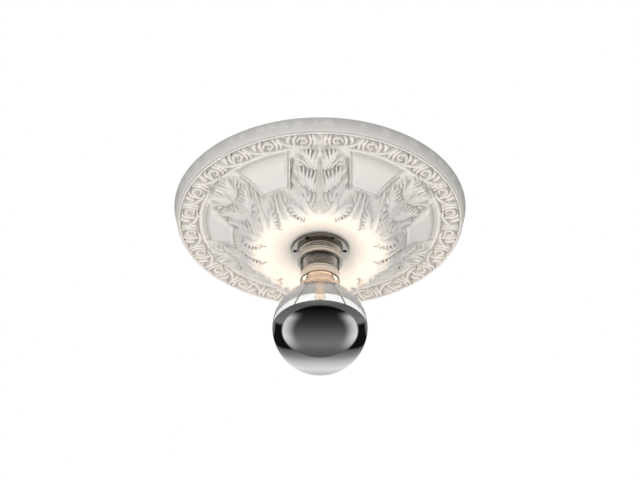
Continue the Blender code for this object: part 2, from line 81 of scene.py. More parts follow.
# Rose, driving sizes in millimetres
ROSE_RADIUS = 150.0
RIM_GROOVE_RADIUS = 146.4
RIM_GROOVE_DROP = 15.4
BEAD_RADIUS = 144.8
BEAD_DROP = 17.0
SCROLL_RADIUS = 134.0
SCROLL_OUTER = 143.2
SCROLL_INNER = 124.6
SCROLL_DROP = 17.4
SCROLL_GROUND_DROP = 11.4
LEDGE_DROP = 16.6
TIP_RADIUS = 122.0
FLANGE_SEAT_RADIUS = 31.5
FLANGE_SEAT_DROP = 50.0

# Ornament, counted round the rose
LEAVES = 6
SCROLLS = 24
LEAF_PITCH = 360.0 / LEAVES
SCROLL_PITCH = 360.0 / SCROLLS

# Crest of the ornament, as (radius, drop): the surface that leaves and tablets come up to
CREST = ((30, 50), (44, 52.8), (62, 58), (71, 56), (77, 51.5), (85, 41), (94.5, 32.3),
         (104, 26.2), (113, 22.2), (122, 18.6), (134, 17.6), (143.2, 17.4))
GROUND_DEPTH = ((62, 0), (68, 1.2), (76, 4.5), (100, 5), (118, 4.5), (124, 3.5))

# Tablet between two leaves, sizes in millimetres
TABLET_SIDE = 29.5             # from the axis of the leaf beside it
TABLET_FRAME = ((86.0, 35.6), (91.5, 33.4), (104, 22.5), (116, 17), (120.5, 14.2))
TABLET_FACE = ((90, 35.2), (91.8, 34.8), (95, 31.4), (113.3, 22))
TABLET_OUTER = 116.0
TABLET_INNER = 89.0
TABLET_CHAMFER = 3.0
TABLET_BORDER = 3.5
TABLET_GROOVE = 2.0
LEAF_GAP = 25.6                # where the deep slot beside a leaf starts
LEAF_GAP_DEPTH = 12.0
LEAF_GAP_START = 85.0          # radii between which it runs
LEAF_GAP_END = 111.0

# Lobes on one half of a leaf, from its tip down. Each has the root and tip of its main finger,
# then the tips of the side fingers above it, as (across, along) the leaf in millimetres.
LOBES = (                      # root, tip of the main finger, then tips of side fingers
    ((3.0, 93.0), (17.6, 118.8), (13.4, 121.4), (8.8, 122.0), (4.0, 122.0)),
    ((3.0, 88.5), (22.6, 111.8)),
    ((3.2, 85.0), (20.8, 106.4)),
    ((2.8, 77.0), (25.4, 99.4), (20.4, 102.6), (16.4, 102.4), (12.2, 100.2), (8.2, 99.4), (4.6, 98.4)),
    ((4.4, 66.5), (27.0, 90.4), (19.4, 85.6), (14.2, 84.8), (9.4, 82.4), (5.4, 81.2)),
)
DRILLS = ((17.9, 99.4), (14.6, 98.6), (10.0, 95.6), (6.6, 96.4), (16.6, 80.6), (11.6, 76.6), (7.2, 75.0))
DRILL_RADIUS = 1.15
DRILL_DEPTH = 4.0
MAIN_FINGER = 2.6              # half width of the main finger of a lobe
SIDE_FINGER = 1.75             # half width of a side finger
VEIN = 0.6                     # half width of the groove along a main finger
VEIN_DEPTH = 1.7
CLEARANCE = 1.0                # width of the hollow dug round a finger
HOLLOW_DEPTH = 4.2
BLADE_DEPTH = 1.5              # how far the blade of a leaf lies below its fingers
BLADE_EDGE = ((62, 13), (72, 17), (84, 22), (100, 21), (112, 17), (120, 8))
TIP_CURL = 2.6                 # how far the tip of a leaf curls off the rose
TIP_WIDTH = 9.0
TIP_HOLLOW_DROP = 13.0

# Small rolled leaf between two big ones, as (degrees from the leaf axis, radius)
ROLL_ROOT = (11.5, 66.5)
ROLL_TIPS = ((24.6, 78.6), (24.4, 74.6), (23.2, 70.8), (21.6, 67.0), (19.4, 63.4), (16.4, 61.4))
ROLL_FINGER = 1.45
ROLL_HOLE = (16.5, 58.0)
ROLL_HOLE_RADIUS = 2.0

# Palmette in front of the tablet: one half, as (degrees from its axis, radius)
PALMETTE_ROOT = (1.6, 63.0)
PALMETTE_TIPS = ((2.4, 86.0), (7.0, 84.4), (11.4, 80.6), (15.0, 76.4))
PALMETTE_FINGER = 1.7
RELIEF_START = 56.0

# Lampholder and bulb, sizes in millimetres
FLANGE_RADIUS = 30.3
FLANGE_FACE_RADIUS = 27.8
FLANGE_THICKNESS = 2.6
SCREW_CIRCLE = 25.3
SCREW_COUNT = 6
SCREW_HEAD_RADIUS = 2.0
SCREW_SHANK_RADIUS = 1.1
SCREW_LENGTH = 14.0
SLEEVE_RADIUS = 19.5
SLEEVE_WALL = 1.3
SLEEVE_MOUTH_DROP = 92.0
RING_RADIUS = 22.4
RING_TOP_DROP = 55.2
RING_HEIGHT = 13.6
RING_LIP_HEIGHT = 4.4
SLEEVE_THREAD_TOP = 69.4
SLEEVE_THREAD_END = 82.6
SLEEVE_GROOVE_DROP = 83.8
SLOT_WIDTH = 4.2
SLOT_HEIGHT = 2.4
SLOT_DROP = 76.5
SLOT_ANGLE = -28.0
CORE_RADIUS = 17.6
CORE_BORE = 13.9
CORE_MOUTH_DROP = 86.5
CAP_RADIUS = 13.3
CAP_TOP_DROP = 62.5
CAP_SHELL_DROP = 68.0
CAP_FOOT_DROP = 89.0
BULB_RADIUS = 47.5
BULB_CENTRE_DROP = 148.5
NECK_RADIUS = 16.0
NECK_FILLET = 9.0

# Studio
FLOOR_RADIUS = 9.0
FLOOR_DROP = 3.0
DOME_RADIUS = 14.0
SURROUND_STRENGTH = 0.42
STUDIO_LIGHTS = (
    ("floor_soft_box", (0.0, -0.5, -2.2), 2.2, 26.0, "#FFFFFF"),
    ("front_soft_box", (-1.0, -2.2, -1.2), 0.9, 9.0, "#FFFFFF"),
)
GLOW_POWER = 0.35
GLOW_DROP = 112.0
# Tones of the studio as they show on a polished ball, from its bottom to its top
ROOM_TONES = ((-0.60, 92), (-0.45, 108), (-0.32, 127), (-0.20, 117), (-0.10, 101), (0.0, 84),
              (0.1, 65), (0.2, 50), (0.3, 34), (0.42, 16))
SWEEP_TONES = ((-1.0, 190), (-0.85, 244), (-0.70, 205), (-0.60, 150), (-0.46, 96), (0.1, 128),
               (0.48, 98), (0.7, 150), (1.0, 200))

# Photograph's camera: distance, angle below the horizon, and what the middle of the view shows
PHOTO_WIDTH = 640
PHOTO_DISTANCE = 2.7
PHOTO_ELEVATION = -37.8
PHOTO_SCALE = 969.7            # photo widths of one metre at the rose, in pixels
PHOTO_CENTRE_BELOW = 0.0308    # the middle of the view lies this far below the rose's centre


# Sizes and colours

class RoseSizes(bpy.types.PropertyGroup):
    """Fineness of the cast rose."""

    columns: IntProperty(
        name="Columns", default=1440, min=180,
        description="Columns round the rose before its flat parts are thinned out")
    rim_columns: IntProperty(
        name="Rim columns", default=240, min=48,
        description="Columns round the plain rim")
    ring_step: FloatProperty(
        name="Ring step", default=0.0006, min=0.0002, subtype="DISTANCE", unit="LENGTH",
        description="Distance between the rings of the carved face")
    triangles: IntProperty(
        name="Triangles", default=186000, min=10000,
        description="Triangles that are left after thinning")


class HolderSizes(bpy.types.PropertyGroup):
    """Sizes of the lampholder that show in its finish."""

    steps: IntProperty(
        name="Steps", default=96, min=24, description="Sides of each turned piece")
    sleeve_pitch: FloatProperty(
        name="Sleeve thread pitch", default=0.00155, subtype="DISTANCE", unit="LENGTH",
        description="Distance between two threads on the sleeve")
    ring_pitch: FloatProperty(
        name="Ring thread pitch", default=0.0021, subtype="DISTANCE", unit="LENGTH",
        description="Distance between two threads on the shade ring")
    thread_depth: FloatProperty(
        name="Thread depth", default=0.00055, subtype="DISTANCE", unit="LENGTH",
        description="Depth of the threads on sleeve and ring")
    recess: FloatProperty(
        name="Screw recess", default=0.0011, subtype="DISTANCE", unit="LENGTH",
        description="Depth of the cross recess in each screw head")


class BulbSizes(bpy.types.PropertyGroup):
    """Sizes of the bulb that show in its finish."""

    wall: FloatProperty(
        name="Glass wall", default=0.0009, subtype="DISTANCE", unit="LENGTH",
        description="Thickness of the glass")
    coat_edge: FloatProperty(
        name="Mirror edge", default=0.0, subtype="DISTANCE", unit="LENGTH",
        description="Height of the mirror's edge above the equator of the globe")
    cap_pitch: FloatProperty(
        name="Cap thread pitch", default=0.0036, subtype="DISTANCE", unit="LENGTH",
        description="Pitch of the rolled thread on the screw cap")
    filament_turns: IntProperty(
        name="Filament turns", default=90, min=10, description="Turns of the filament coil")


class RoseColours(bpy.types.PropertyGroup):
    """Colours as sRGB hex values."""

    plaster: StringProperty(
        name="Plaster", default="#F4F1EC", description="Matt white paint on cast gypsum")
    plate: StringProperty(
        name="Plated steel", default="#C9C5C0", description="Bright nickel plating")
    screw: StringProperty(
        name="Screws", default="#2A2726", description="Blackened steel of the screws")
    porcelain: StringProperty(
        name="Porcelain", default="#E9E4DA", description="Glazed insulating core")
    cap: StringProperty(
        name="Bulb cap", default="#CFC8BC", description="Nickelled brass of the screw cap")
    brass: StringProperty(
        name="Contact", default="#C79A55", description="Bare brass of the centre contact")
    insulator: StringProperty(
        name="Insulator", default="#17151A", description="Black glass round the contact")
    silver: StringProperty(
        name="Mirror", default="#E3E3E4", description="Silver coat of the lower half")
    glow: StringProperty(
        name="Glow", default="#FFE3C4", description="Light of the bulb on the plaster")
    floor: StringProperty(
        name="Floor", default="#EDEDEC", description="Pale floor of the studio")


# Making and finishing

def linear(text):
    """Linear RGB of an sRGB hex colour."""
    parts = (int(text[i:i + 2], 16) / 255 for i in (1, 3, 5))
    return tuple(c / 12.92 if c <= 0.04045 else ((c + 0.055) / 1.055) ** 2.4 for c in parts)


def add(tree, kind, inputs=None, **settings):
    """Add one node with its settings. An input takes a value or the socket that feeds it."""
    made = tree.nodes.new(kind)
    for name, value in settings.items():
        setattr(made, name, value)
    for name, value in (inputs or {}).items():
        if isinstance(value, bpy.types.NodeSocket):
            tree.links.new(value, made.inputs[name])
        else:
            made.inputs[name].default_value = value
    return made


def new_material(name, colour, roughness, metallic=0.0, **sockets):
    """A Principled material with its plain values set on the shader itself."""
    made = bpy.data.materials.new(name)
    made.use_nodes = True
    shader = made.node_tree.nodes["Principled BSDF"]
    shader.inputs["Base Color"].default_value = (*linear(colour), 1.0)
    shader.inputs["Roughness"].default_value = roughness
    shader.inputs["Metallic"].default_value = metallic
    for socket, value in sockets.items():
        shader.inputs[socket.replace("_", " ")].default_value = value
    return made, made.node_tree, shader


def finish_mesh(bm, name, *materials, angle=35.0, slot=None):
    """Store a bmesh as a piece that rides on the rose, smooth but for its sharp edges."""
    bmesh.ops.remove_doubles(bm, verts=bm.verts, dist=1e-7)
    bmesh.ops.recalc_face_normals(bm, faces=bm.faces)
    mesh = bpy.data.meshes.new(name)
    bm.to_mesh(mesh)
    bm.free()
    piece = bpy.data.objects.new(name, mesh)
    bpy.context.scene.collection.objects.link(piece)
    for made in materials:
        mesh.materials.append(made)
    mesh.shade_smooth()
    mesh.set_sharp_from_angle(angle=math.radians(angle))
    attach(piece, "root")
    return piece


def spin_outline(bm, outline, steps, closed=False, centre=(0, 0)):
    """Turn an outline of (radius, drop) points in millimetres about an upright axis."""
    x, y = centre
    line = [bm.verts.new(((x + r) * MM, y * MM, -drop * MM)) for r, drop in outline]
    rail = [bm.edges.new(pair) for pair in zip(line, line[1:])]
    if closed:
        rail.append(bm.edges.new((line[-1], line[0])))
    bmesh.ops.spin(bm, geom=line + rail, axis=(0, 0, 1), cent=(x * MM, y * MM, 0),
                   steps=steps, angle=math.tau, use_merge=True)
    bmesh.ops.remove_doubles(bm, verts=bm.verts, dist=1e-7)


def arc(centre, radius, start, end, pieces):
    """Points of an arc in the (radius, drop) plane, in degrees from the outward direction."""
    turns = np.radians(np.linspace(start, end, pieces + 1))
    return [(centre[0] + radius * math.cos(t), centre[1] + radius * math.sin(t)) for t in turns]


def press_thread(bm, first, last, pitch, depth, wall, power=1.0):
    """Press a helical thread into the outer wall between two drops."""
    for vert in bm.verts:
        drop = -vert.co.z / MM
        out = vert.co.xy.length / MM
        if first < drop < last and out > wall:
            turn = math.atan2(vert.co.y, vert.co.x) / math.tau
            wave = 0.5 - 0.5 * math.cos(math.tau * (drop / pitch - turn))
            fade = min(1.0, (drop - first) / pitch, (last - drop) / pitch)
            vert.co.xy *= (out - depth * fade * wave ** power) / out


def settle(piece):
    """Replace a piece's mesh by what its modifiers make of it."""
    graph = bpy.context.evaluated_depsgraph_get()
    graph.update()
    made = bpy.data.meshes.new_from_object(piece.evaluated_get(graph))
    made.name = piece.data.name
    piece.modifiers.clear()
    old, piece.data = piece.data, made
    bpy.data.meshes.remove(old)


def carve(piece, *cutters):
    """Take the cutters out of a piece and clear them away."""
    for cutter in cutters:
        taken = piece.modifiers.new("carve", "BOOLEAN")
        taken.operation, taken.object, taken.solver = "DIFFERENCE", cutter, "EXACT"
    settle(piece)
    for cutter in cutters:
        bpy.data.objects.remove(cutter, do_unlink=True)


def cutter_from(bm, name):
    """A loose object that only serves to carve another."""
    bmesh.ops.recalc_face_normals(bm, faces=bm.faces)
    mesh = bpy.data.meshes.new(name)
    bm.to_mesh(mesh)
    bm.free()
    made = bpy.data.objects.new(name, mesh)
    bpy.context.scene.collection.objects.link(made)
    return made


def screw_places():
    """Centres of the flange screws, in millimetres."""
    turns = (math.radians(30 + 360 * i / SCREW_COUNT) for i in range(SCREW_COUNT))
    return [(SCREW_CIRCLE * math.sin(t), -SCREW_CIRCLE * math.cos(t)) for t in turns]


# Finishes

def painted_plaster():
    """Cast gypsum under matt white paint: chalky, with a fine grain, and painted shade that greys its
    hollows.
    """
    made, tree, shader = new_material("matt_painted_gypsum", colours().plaster, 0.72)
    place = add(tree, "ShaderNodeTexCoord").outputs["Object"]
    # painted shade: ambient occlusion greys the colour in the hollows and creases, standing in for the
    # shade that falls there
    hollow = add(tree, "ShaderNodeAmbientOcclusion", {"Distance": 0.006}, samples=8)
    cloud = add(tree, "ShaderNodeTexNoise", {"Vector": place, "Scale": 55.0, "Detail": 3.0})
    tone = add(tree, "ShaderNodeMapRange",
               {"Value": cloud.outputs["Fac"], "From Min": 0.3, "From Max": 0.7,
                "To Min": 0.975, "To Max": 1.0})
    depth = add(tree, "ShaderNodeMapRange",
                {"Value": hollow.outputs["AO"], "From Min": 0.25, "From Max": 0.95,
                 "To Min": 0.62, "To Max": 1.0})
    value = add(tree, "ShaderNodeMath", {0: tone.outputs[0], 1: depth.outputs[0]},
                operation="MULTIPLY")
    # painted shade: the plaster colour is mixed towards this grey where the occlusion is strong
    paint = add(tree, "ShaderNodeMix",
                {"Factor": value.outputs[0], "A": (*linear("#8E8985"), 1.0),
                 "B": (*linear(colours().plaster), 1.0)}, data_type="RGBA")
    tree.links.new(paint.outputs["Result"], shader.inputs["Base Color"])
    # grain of the casting, about 0.4 mm, with shallow waves from the brush
    grain = add(tree, "ShaderNodeTexNoise", {"Vector": place, "Scale": 2400.0, "Detail": 2.0})
    waves = add(tree, "ShaderNodeTexNoise", {"Vector": place, "Scale": 380.0, "Detail": 2.0})
    rough = add(tree, "ShaderNodeMath", {0: grain.outputs["Fac"], 1: waves.outputs["Fac"]},
                operation="ADD")
    bump = add(tree, "ShaderNodeBump",
               {"Height": rough.outputs[0], "Strength": 0.12, "Distance": 0.0003})
    tree.links.new(bump.outputs["Normal"], shader.inputs["Normal"])
    return made


def bright_nickel():
    """Nickel-plated turned steel: bright, slightly warm, with fine turning marks."""
    made, tree, shader = new_material("bright_nickel_plate", colours().plate, 0.16, 1.0)
    place = add(tree, "ShaderNodeTexCoord").outputs["Object"]
    # turning marks run round the axis, so the noise is stretched along X and Y
    flat = add(tree, "ShaderNodeMapping", {"Vector": place, "Scale": (8.0, 8.0, 900.0)})
    marks = add(tree, "ShaderNodeTexNoise", {"Vector": flat.outputs[0], "Scale": 3.0, "Detail": 2.0})
    spread = add(tree, "ShaderNodeMapRange",
                 {"Value": marks.outputs["Fac"], "To Min": 0.1, "To Max": 0.24})
    tree.links.new(spread.outputs[0], shader.inputs["Roughness"])
    bump = add(tree, "ShaderNodeBump",
               {"Height": marks.outputs["Fac"], "Strength": 0.15, "Distance": 0.00005})
    tree.links.new(bump.outputs["Normal"], shader.inputs["Normal"])
    return made


def black_steel():
    """Blackened steel screws: dark and dull, a little worn on the raised parts."""
    made, tree, shader = new_material("blackened_steel", colours().screw, 0.42, 0.9)
    place = add(tree, "ShaderNodeTexCoord").outputs["Object"]
    wear = add(tree, "ShaderNodeTexNoise", {"Vector": place, "Scale": 1800.0, "Detail": 3.0})
    spread = add(tree, "ShaderNodeMapRange",
                 {"Value": wear.outputs["Fac"], "To Min": 0.3, "To Max": 0.55})
    tree.links.new(spread.outputs[0], shader.inputs["Roughness"])
    return made


def glazed_porcelain():
    """Glazed electrical porcelain: smooth, warm white, with a faint ripple in the glaze."""
    made, tree, shader = new_material("glazed_porcelain", colours().porcelain, 0.14,
                                      Coat_Weight=0.4, Coat_Roughness=0.05)
    place = add(tree, "ShaderNodeTexCoord").outputs["Object"]
    ripple = add(tree, "ShaderNodeTexNoise", {"Vector": place, "Scale": 300.0, "Detail": 1.0})
    bump = add(tree, "ShaderNodeBump",
               {"Height": ripple.outputs["Fac"], "Strength": 0.1, "Distance": 0.0002})
    tree.links.new(bump.outputs["Normal"], shader.inputs["Normal"])
    return made


def nickelled_brass():
    """Thin nickelled brass of the screw cap: satin bright, with rolled scuffs round it."""
    made, tree, shader = new_material("nickelled_brass", colours().cap, 0.25, 1.0)
    place = add(tree, "ShaderNodeTexCoord").outputs["Object"]
    flat = add(tree, "ShaderNodeMapping", {"Vector": place, "Scale": (20.0, 20.0, 700.0)})
    scuff = add(tree, "ShaderNodeTexNoise", {"Vector": flat.outputs[0], "Scale": 3.0, "Detail": 3.0})
    spread = add(tree, "ShaderNodeMapRange",
                 {"Value": scuff.outputs["Fac"], "To Min": 0.18, "To Max": 0.4})
    tree.links.new(spread.outputs[0], shader.inputs["Roughness"])
    return made


def bare_brass():
    """Stamped bare brass of the contact, dulled by handling."""
    made, tree, shader = new_material("bare_brass", colours().brass, 0.32, 1.0)
    place = add(tree, "ShaderNodeTexCoord").outputs["Object"]
    stain = add(tree, "ShaderNodeTexNoise", {"Vector": place, "Scale": 900.0, "Detail": 3.0})
    spread = add(tree, "ShaderNodeMapRange",
                 {"Value": stain.outputs["Fac"], "To Min": 0.24, "To Max": 0.45})
    tree.links.new(spread.outputs[0], shader.inputs["Roughness"])
    return made


def black_insulator():
    """Black glass insulator of the cap, poured and glossy."""
    made, tree, shader = new_material("black_insulator_glass", colours().insulator, 0.12)
    place = add(tree, "ShaderNodeTexCoord").outputs["Object"]
    ripple = add(tree, "ShaderNodeTexNoise", {"Vector": place, "Scale": 500.0})
    bump = add(tree, "ShaderNodeBump",
               {"Height": ripple.outputs["Fac"], "Strength": 0.2, "Distance": 0.0002})
    tree.links.new(bump.outputs["Normal"], shader.inputs["Normal"])
    return made


def clear_glass():
    """Blown soda-lime glass of the globe: colourless and see-through."""
    made, _, _ = new_material("clear_bulb_glass", "#FFFFFF", 0.0,
                              Transmission_Weight=1.0, IOR=1.45)
    return made


def silver_mirror():
    """Silver coat on the lower half of the globe: a near-perfect mirror."""
    made, _, _ = new_material("silvered_glass", colours().silver, 0.015, 1.0)
    return made


def lead_glass():
    """Pressed lead glass of the stem: clear with a faint warm tint, wavy from the pinch."""
    made, tree, shader = new_material("pressed_lead_glass", "#F6E6DA", 0.08,
                                      Transmission_Weight=0.85, IOR=1.54)
    place = add(tree, "ShaderNodeTexCoord").outputs["Object"]
    ripple = add(tree, "ShaderNodeTexNoise", {"Vector": place, "Scale": 260.0, "Detail": 2.0})
    bump = add(tree, "ShaderNodeBump",
               {"Height": ripple.outputs["Fac"], "Strength": 0.4, "Distance": 0.0006})
    tree.links.new(bump.outputs["Normal"], shader.inputs["Normal"])
    return made


def nickel_wire():
    """Drawn nickel wire of the leads and supports."""
    made, _, _ = new_material("drawn_nickel_wire", "#A9A49D", 0.3, 1.0)
    return made


def tungsten():
    """Coiled tungsten, with the warm glow of a low flame."""
    made, _, shader = new_material("glowing_tungsten", "#7A726C", 0.4, 1.0)
    shader.inputs["Emission Color"].default_value = (*linear("#FFC98A"), 1.0)
    shader.inputs["Emission Strength"].default_value = 6.0
    return made


def colours():
    """Colours that the user set."""
    return bpy.context.scene.rose_colours


# Relief of the rose

def along(radius, points):
    """Smooth curve through a few (radius, value) points, flat past its ends."""
    known = np.array([p[0] for p in points], float)
    value = np.array([p[1] for p in points], float)
    slope = np.gradient(value, known)
    slope[0] = slope[-1] = 0.0
    r = np.clip(radius, known[0], known[-1])
    i = np.clip(np.searchsorted(known, r) - 1, 0, len(known) - 2)
    span = known[i + 1] - known[i]
    t = (r - known[i]) / span
    rise = value[i + 1] - value[i]
    near = slope[i] * span - rise
    far = rise - slope[i + 1] * span
    return value[i] + rise * t + t * (1 - t) * (near * (1 - t) + far * t)


def straight(radius, points):
    """Straight runs between a few (radius, value) points."""
    return np.interp(radius, [p[0] for p in points], [p[1] for p in points])


def flat_point(angle, radius):
    """A point given in degrees from an axis and millimetres, as (across, along) that axis."""
    turn = math.radians(angle)
    return (radius * math.sin(turn), radius * math.cos(turn))


def curve(root, bend, tip, pieces=8):
    """Points on a quadratic curve from root to tip."""
    t = np.linspace(0.0, 1.0, pieces + 1)[:, None]
    root, bend, tip = (np.array(p, float) for p in (root, bend, tip))
    return (1 - t) ** 2 * root + 2 * t * (1 - t) * bend + t ** 2 * tip


def blend(a, b, share):
    """The point that lies between two points."""
    return tuple((1 - share) * p + share * q for p, q in zip(a, b))


def near(across, up, line, margin):
    """Indices of the points that lie in the box of a line, widened by a margin."""
    low = line.min(axis=0) - margin
    high = line.max(axis=0) + margin
    return np.flatnonzero((across > low[0]) & (across < high[0]) & (up > low[1]) & (up < high[1]))


def reach(across, up, line, widths):
    """Distance to a line as a share of its half width there, and how far along it that is."""
    best = np.full(across.shape, np.inf)
    place = np.zeros(across.shape)
    count = len(line) - 1
    for i in range(count):
        start, step = line[i], line[i + 1] - line[i]
        t = ((across - start[0]) * step[0] + (up - start[1]) * step[1]) / step.dot(step)
        t = np.clip(t, 0.0, 1.0)
        away = np.hypot(across - start[0] - t * step[0], up - start[1] - t * step[1])
        where = (i + t) / count
        share = away / np.interp(where, (0.0, 0.65, 1.0), widths)
        closer = share < best
        best[closer] = share[closer]
        place[closer] = where[closer]
    return best, place


def finger(height, crest, across, up, line, width, lift, crown):
    """Raise one rounded finger of a leaf, flat at its root, out of the height map."""
    pick = near(across, up, line, width)
    share, place = reach(across[pick], up[pick], line, (0.55 * width, width, 0.6 * width))
    dome = np.sqrt(np.clip(1.0 - share ** 2, 0.0, 1.0))
    rounding = crown * np.clip(0.35 + 1.5 * place, 0.0, 1.0)
    top = crest[pick] + lift * np.sin(0.5 * math.pi * place) ** 2 - rounding * (1.0 - dome)
    height[pick] = np.where(share < 1.0, np.maximum(height[pick], top), height[pick])


def groove(height, across, up, line, width, depth):
    """Press a rounded groove that fades out at both ends into the height map."""
    pick = near(across, up, line, width)
    share, place = reach(across[pick], up[pick], line, (width, width, 0.6 * width))
    fade = np.clip(7.0 * np.minimum(place, 1.0 - place), 0.0, 1.0)
    height[pick] -= depth * fade * np.clip(1.0 - share ** 2, 0.0, 1.0)


def drill(height, across, up, centre, radius, depth):
    """Sink a small round hole into the height map."""
    away = np.hypot(across - centre[0], up - centre[1]) / radius
    height -= depth * np.clip(2.0 * (1.0 - away), 0.0, 1.0)


def bowed(root, tip, bow):
    """A curve from root to tip that bows to the left by a share of its length."""
    middle = blend(root, tip, 0.5)
    bend = (middle[0] - 2 * bow * (tip[1] - root[1]), middle[1] + 2 * bow * (tip[0] - root[0]))
    return curve(root, bend, tip)


def hollow(height, crest, across, up, line, width):
    """Dig round the outer part of a finger so that it stands clear of what lies behind it."""
    wide = width + CLEARANCE
    pick = near(across, up, line, wide)
    share, place = reach(across[pick], up[pick], line, (0.6 * wide, wide, 0.8 * wide))
    depth = HOLLOW_DEPTH * np.clip(3.0 * (1.0 - share), 0.0, 1.0)
    depth *= np.clip(4.0 * place - 1.8, 0.0, 1.0)
    height[pick] = np.minimum(height[pick], np.maximum(crest[pick] - depth, 0))


def fingers(height, crest, across, up, lines, lift, crown):
    """Raise fingers out of a hollow; each line comes with its half width."""
    for line, width in lines:
        hollow(height, crest, across, up, line, width)
    for line, width in lines:
        finger(height, crest, across, up, line, width, lift, crown)


def lobe(height, crest, across, up, root, tip, *sides):
    """Raise a lobe: a main finger, with side fingers that leave it and turn up the leaf."""
    lines = []
    for i, side in enumerate(sides):
        share = 0.62 * (1.0 - i / len(sides))
        start = blend(root, tip, share)
        bend = blend(start, tip, 0.35 * math.dist(start, side) / math.dist(start, tip))
        lines.append((curve(start, bend, side), SIDE_FINGER))
    rib = bowed(root, tip, 0.04)
    lines.append((rib, MAIN_FINGER))
    fingers(height, crest, across, up, lines, 1.2, 1.9)
    groove(height, across, up, rib, VEIN, VEIN_DEPTH)


def tablet(height, radius, across):
    """Raise the bordered tablet that fills the bay between two leaves."""
    inside = across - TABLET_SIDE
    bay = (inside > 0) & (radius < 120.6) & (radius > 86.0)
    frame = straight(radius, TABLET_FRAME)
    frame = frame + 0.8 * (inside < 1.5)
    frame = frame - TABLET_GROOVE * (np.abs(inside - 2.1) < 0.6)
    frame = frame - TABLET_GROOVE * (np.abs(radius - 116.7) < 0.6)
    frame = frame - TABLET_GROOVE * (np.abs(radius - 88.4) < 0.6)
    face = straight(radius, TABLET_FACE)
    rise = np.minimum(inside - TABLET_BORDER, TABLET_OUTER - radius)
    rise = np.minimum(rise, radius - TABLET_INNER) / TABLET_CHAMFER
    raised = frame + (face - frame) * np.clip(rise, 0.0, 1.0)
    height[bay] = raised[bay]


def scroll_unit(height, crest, across, up):
    """One running scroll: a ring round an eye, with pointed leaflets beside it."""
    turn = np.linspace(-0.75 * math.pi, 1.05 * math.pi, 15)[:, None]
    swell = 4.3 + 0.9 * (turn / math.pi)
    ring = np.hstack((-swell * np.cos(turn), swell * np.sin(turn)))
    finger(height, crest, across, up, ring, 1.75, 0.4, 1.3)
    finger(height, crest, across, up, curve((-0.6, 0), (0, 0), (0.6, 0), 2), 1.7, -0.8, 1.0)
    leaflets = (
        ((-6.4, -7.0), (-10.0, -1.0), (-7.2, 8.2), 2.0),
        ((-11.6, -7.0), (-13.6, 1.0), (-11.0, 8.6), 2.1),
        ((1.0, -7.4), (13.0, -10.0), (21.4, 1.0), 2.0),
        ((8.6, -5.0), (10.2, 3.0), (4.8, 8.4), 2.1),
        ((14.2, 0.0), (15.2, 4.0), (10.8, 8.6), 2.4),
    )
    for root, bend, tip, width in leaflets:
        finger(height, crest, across, up, curve(root, bend, tip), width, 0.3, 1.3)


def leaf_half(height, crest, radius, across, up):
    """One half of a big leaf, with its stem and the curled tip."""
    gap = (across > LEAF_GAP) & (across < TABLET_SIDE)
    gap = gap & (radius > LEAF_GAP_START) & (radius < LEAF_GAP_END)
    height[gap] = (crest - LEAF_GAP_DEPTH)[gap]
    blade = (across < straight(up, BLADE_EDGE)) & (up > 62) & (radius < TIP_RADIUS - 1.2)
    height[blade] = np.maximum(height, crest - BLADE_DEPTH)[blade]
    for shape in LOBES:
        lobe(height, crest, across, up, *shape)
    for centre in DRILLS:
        drill(height, across, up, centre, DRILL_RADIUS, DRILL_DEPTH)
    stem = curve((0, 60), (0, 90), (0, 120.5))
    finger(height, crest, across, up, stem, 3.4, 0.9, 1.4)
    for side in (0.9, 3.2):
        rib = curve((1.25 * side, 66), (side, 90), (0.5 * side, 118))
        groove(height, across, up, rib, 0.8, 1.8)
    curl = np.clip((radius - 110) / 11, 0, 1) ** 2 * np.clip(1 - (across / TIP_WIDTH) ** 2, 0, 1)
    height += np.where(radius < TIP_RADIUS, TIP_CURL * curl, 0)


def rolled_leaf(height, crest, across, up):
    """The small leaf that rolls over beside the root of a big one."""
    root = flat_point(*ROLL_ROOT)
    lines = [(bowed(root, flat_point(*tip), 0.15), ROLL_FINGER) for tip in ROLL_TIPS]
    fingers(height, crest, across, up, lines, 1.2, 2.0)
    drill(height, across, up, flat_point(*ROLL_HOLE), ROLL_HOLE_RADIUS, DRILL_DEPTH)


def palmette_half(height, crest, across, up):
    """One half of the palmette in front of a tablet."""
    lines = [(bowed(PALMETTE_ROOT, tip, -0.06), PALMETTE_FINGER) for tip in PALMETTE_TIPS]
    fingers(height, crest, across, up, lines, 1.2, 2.2)


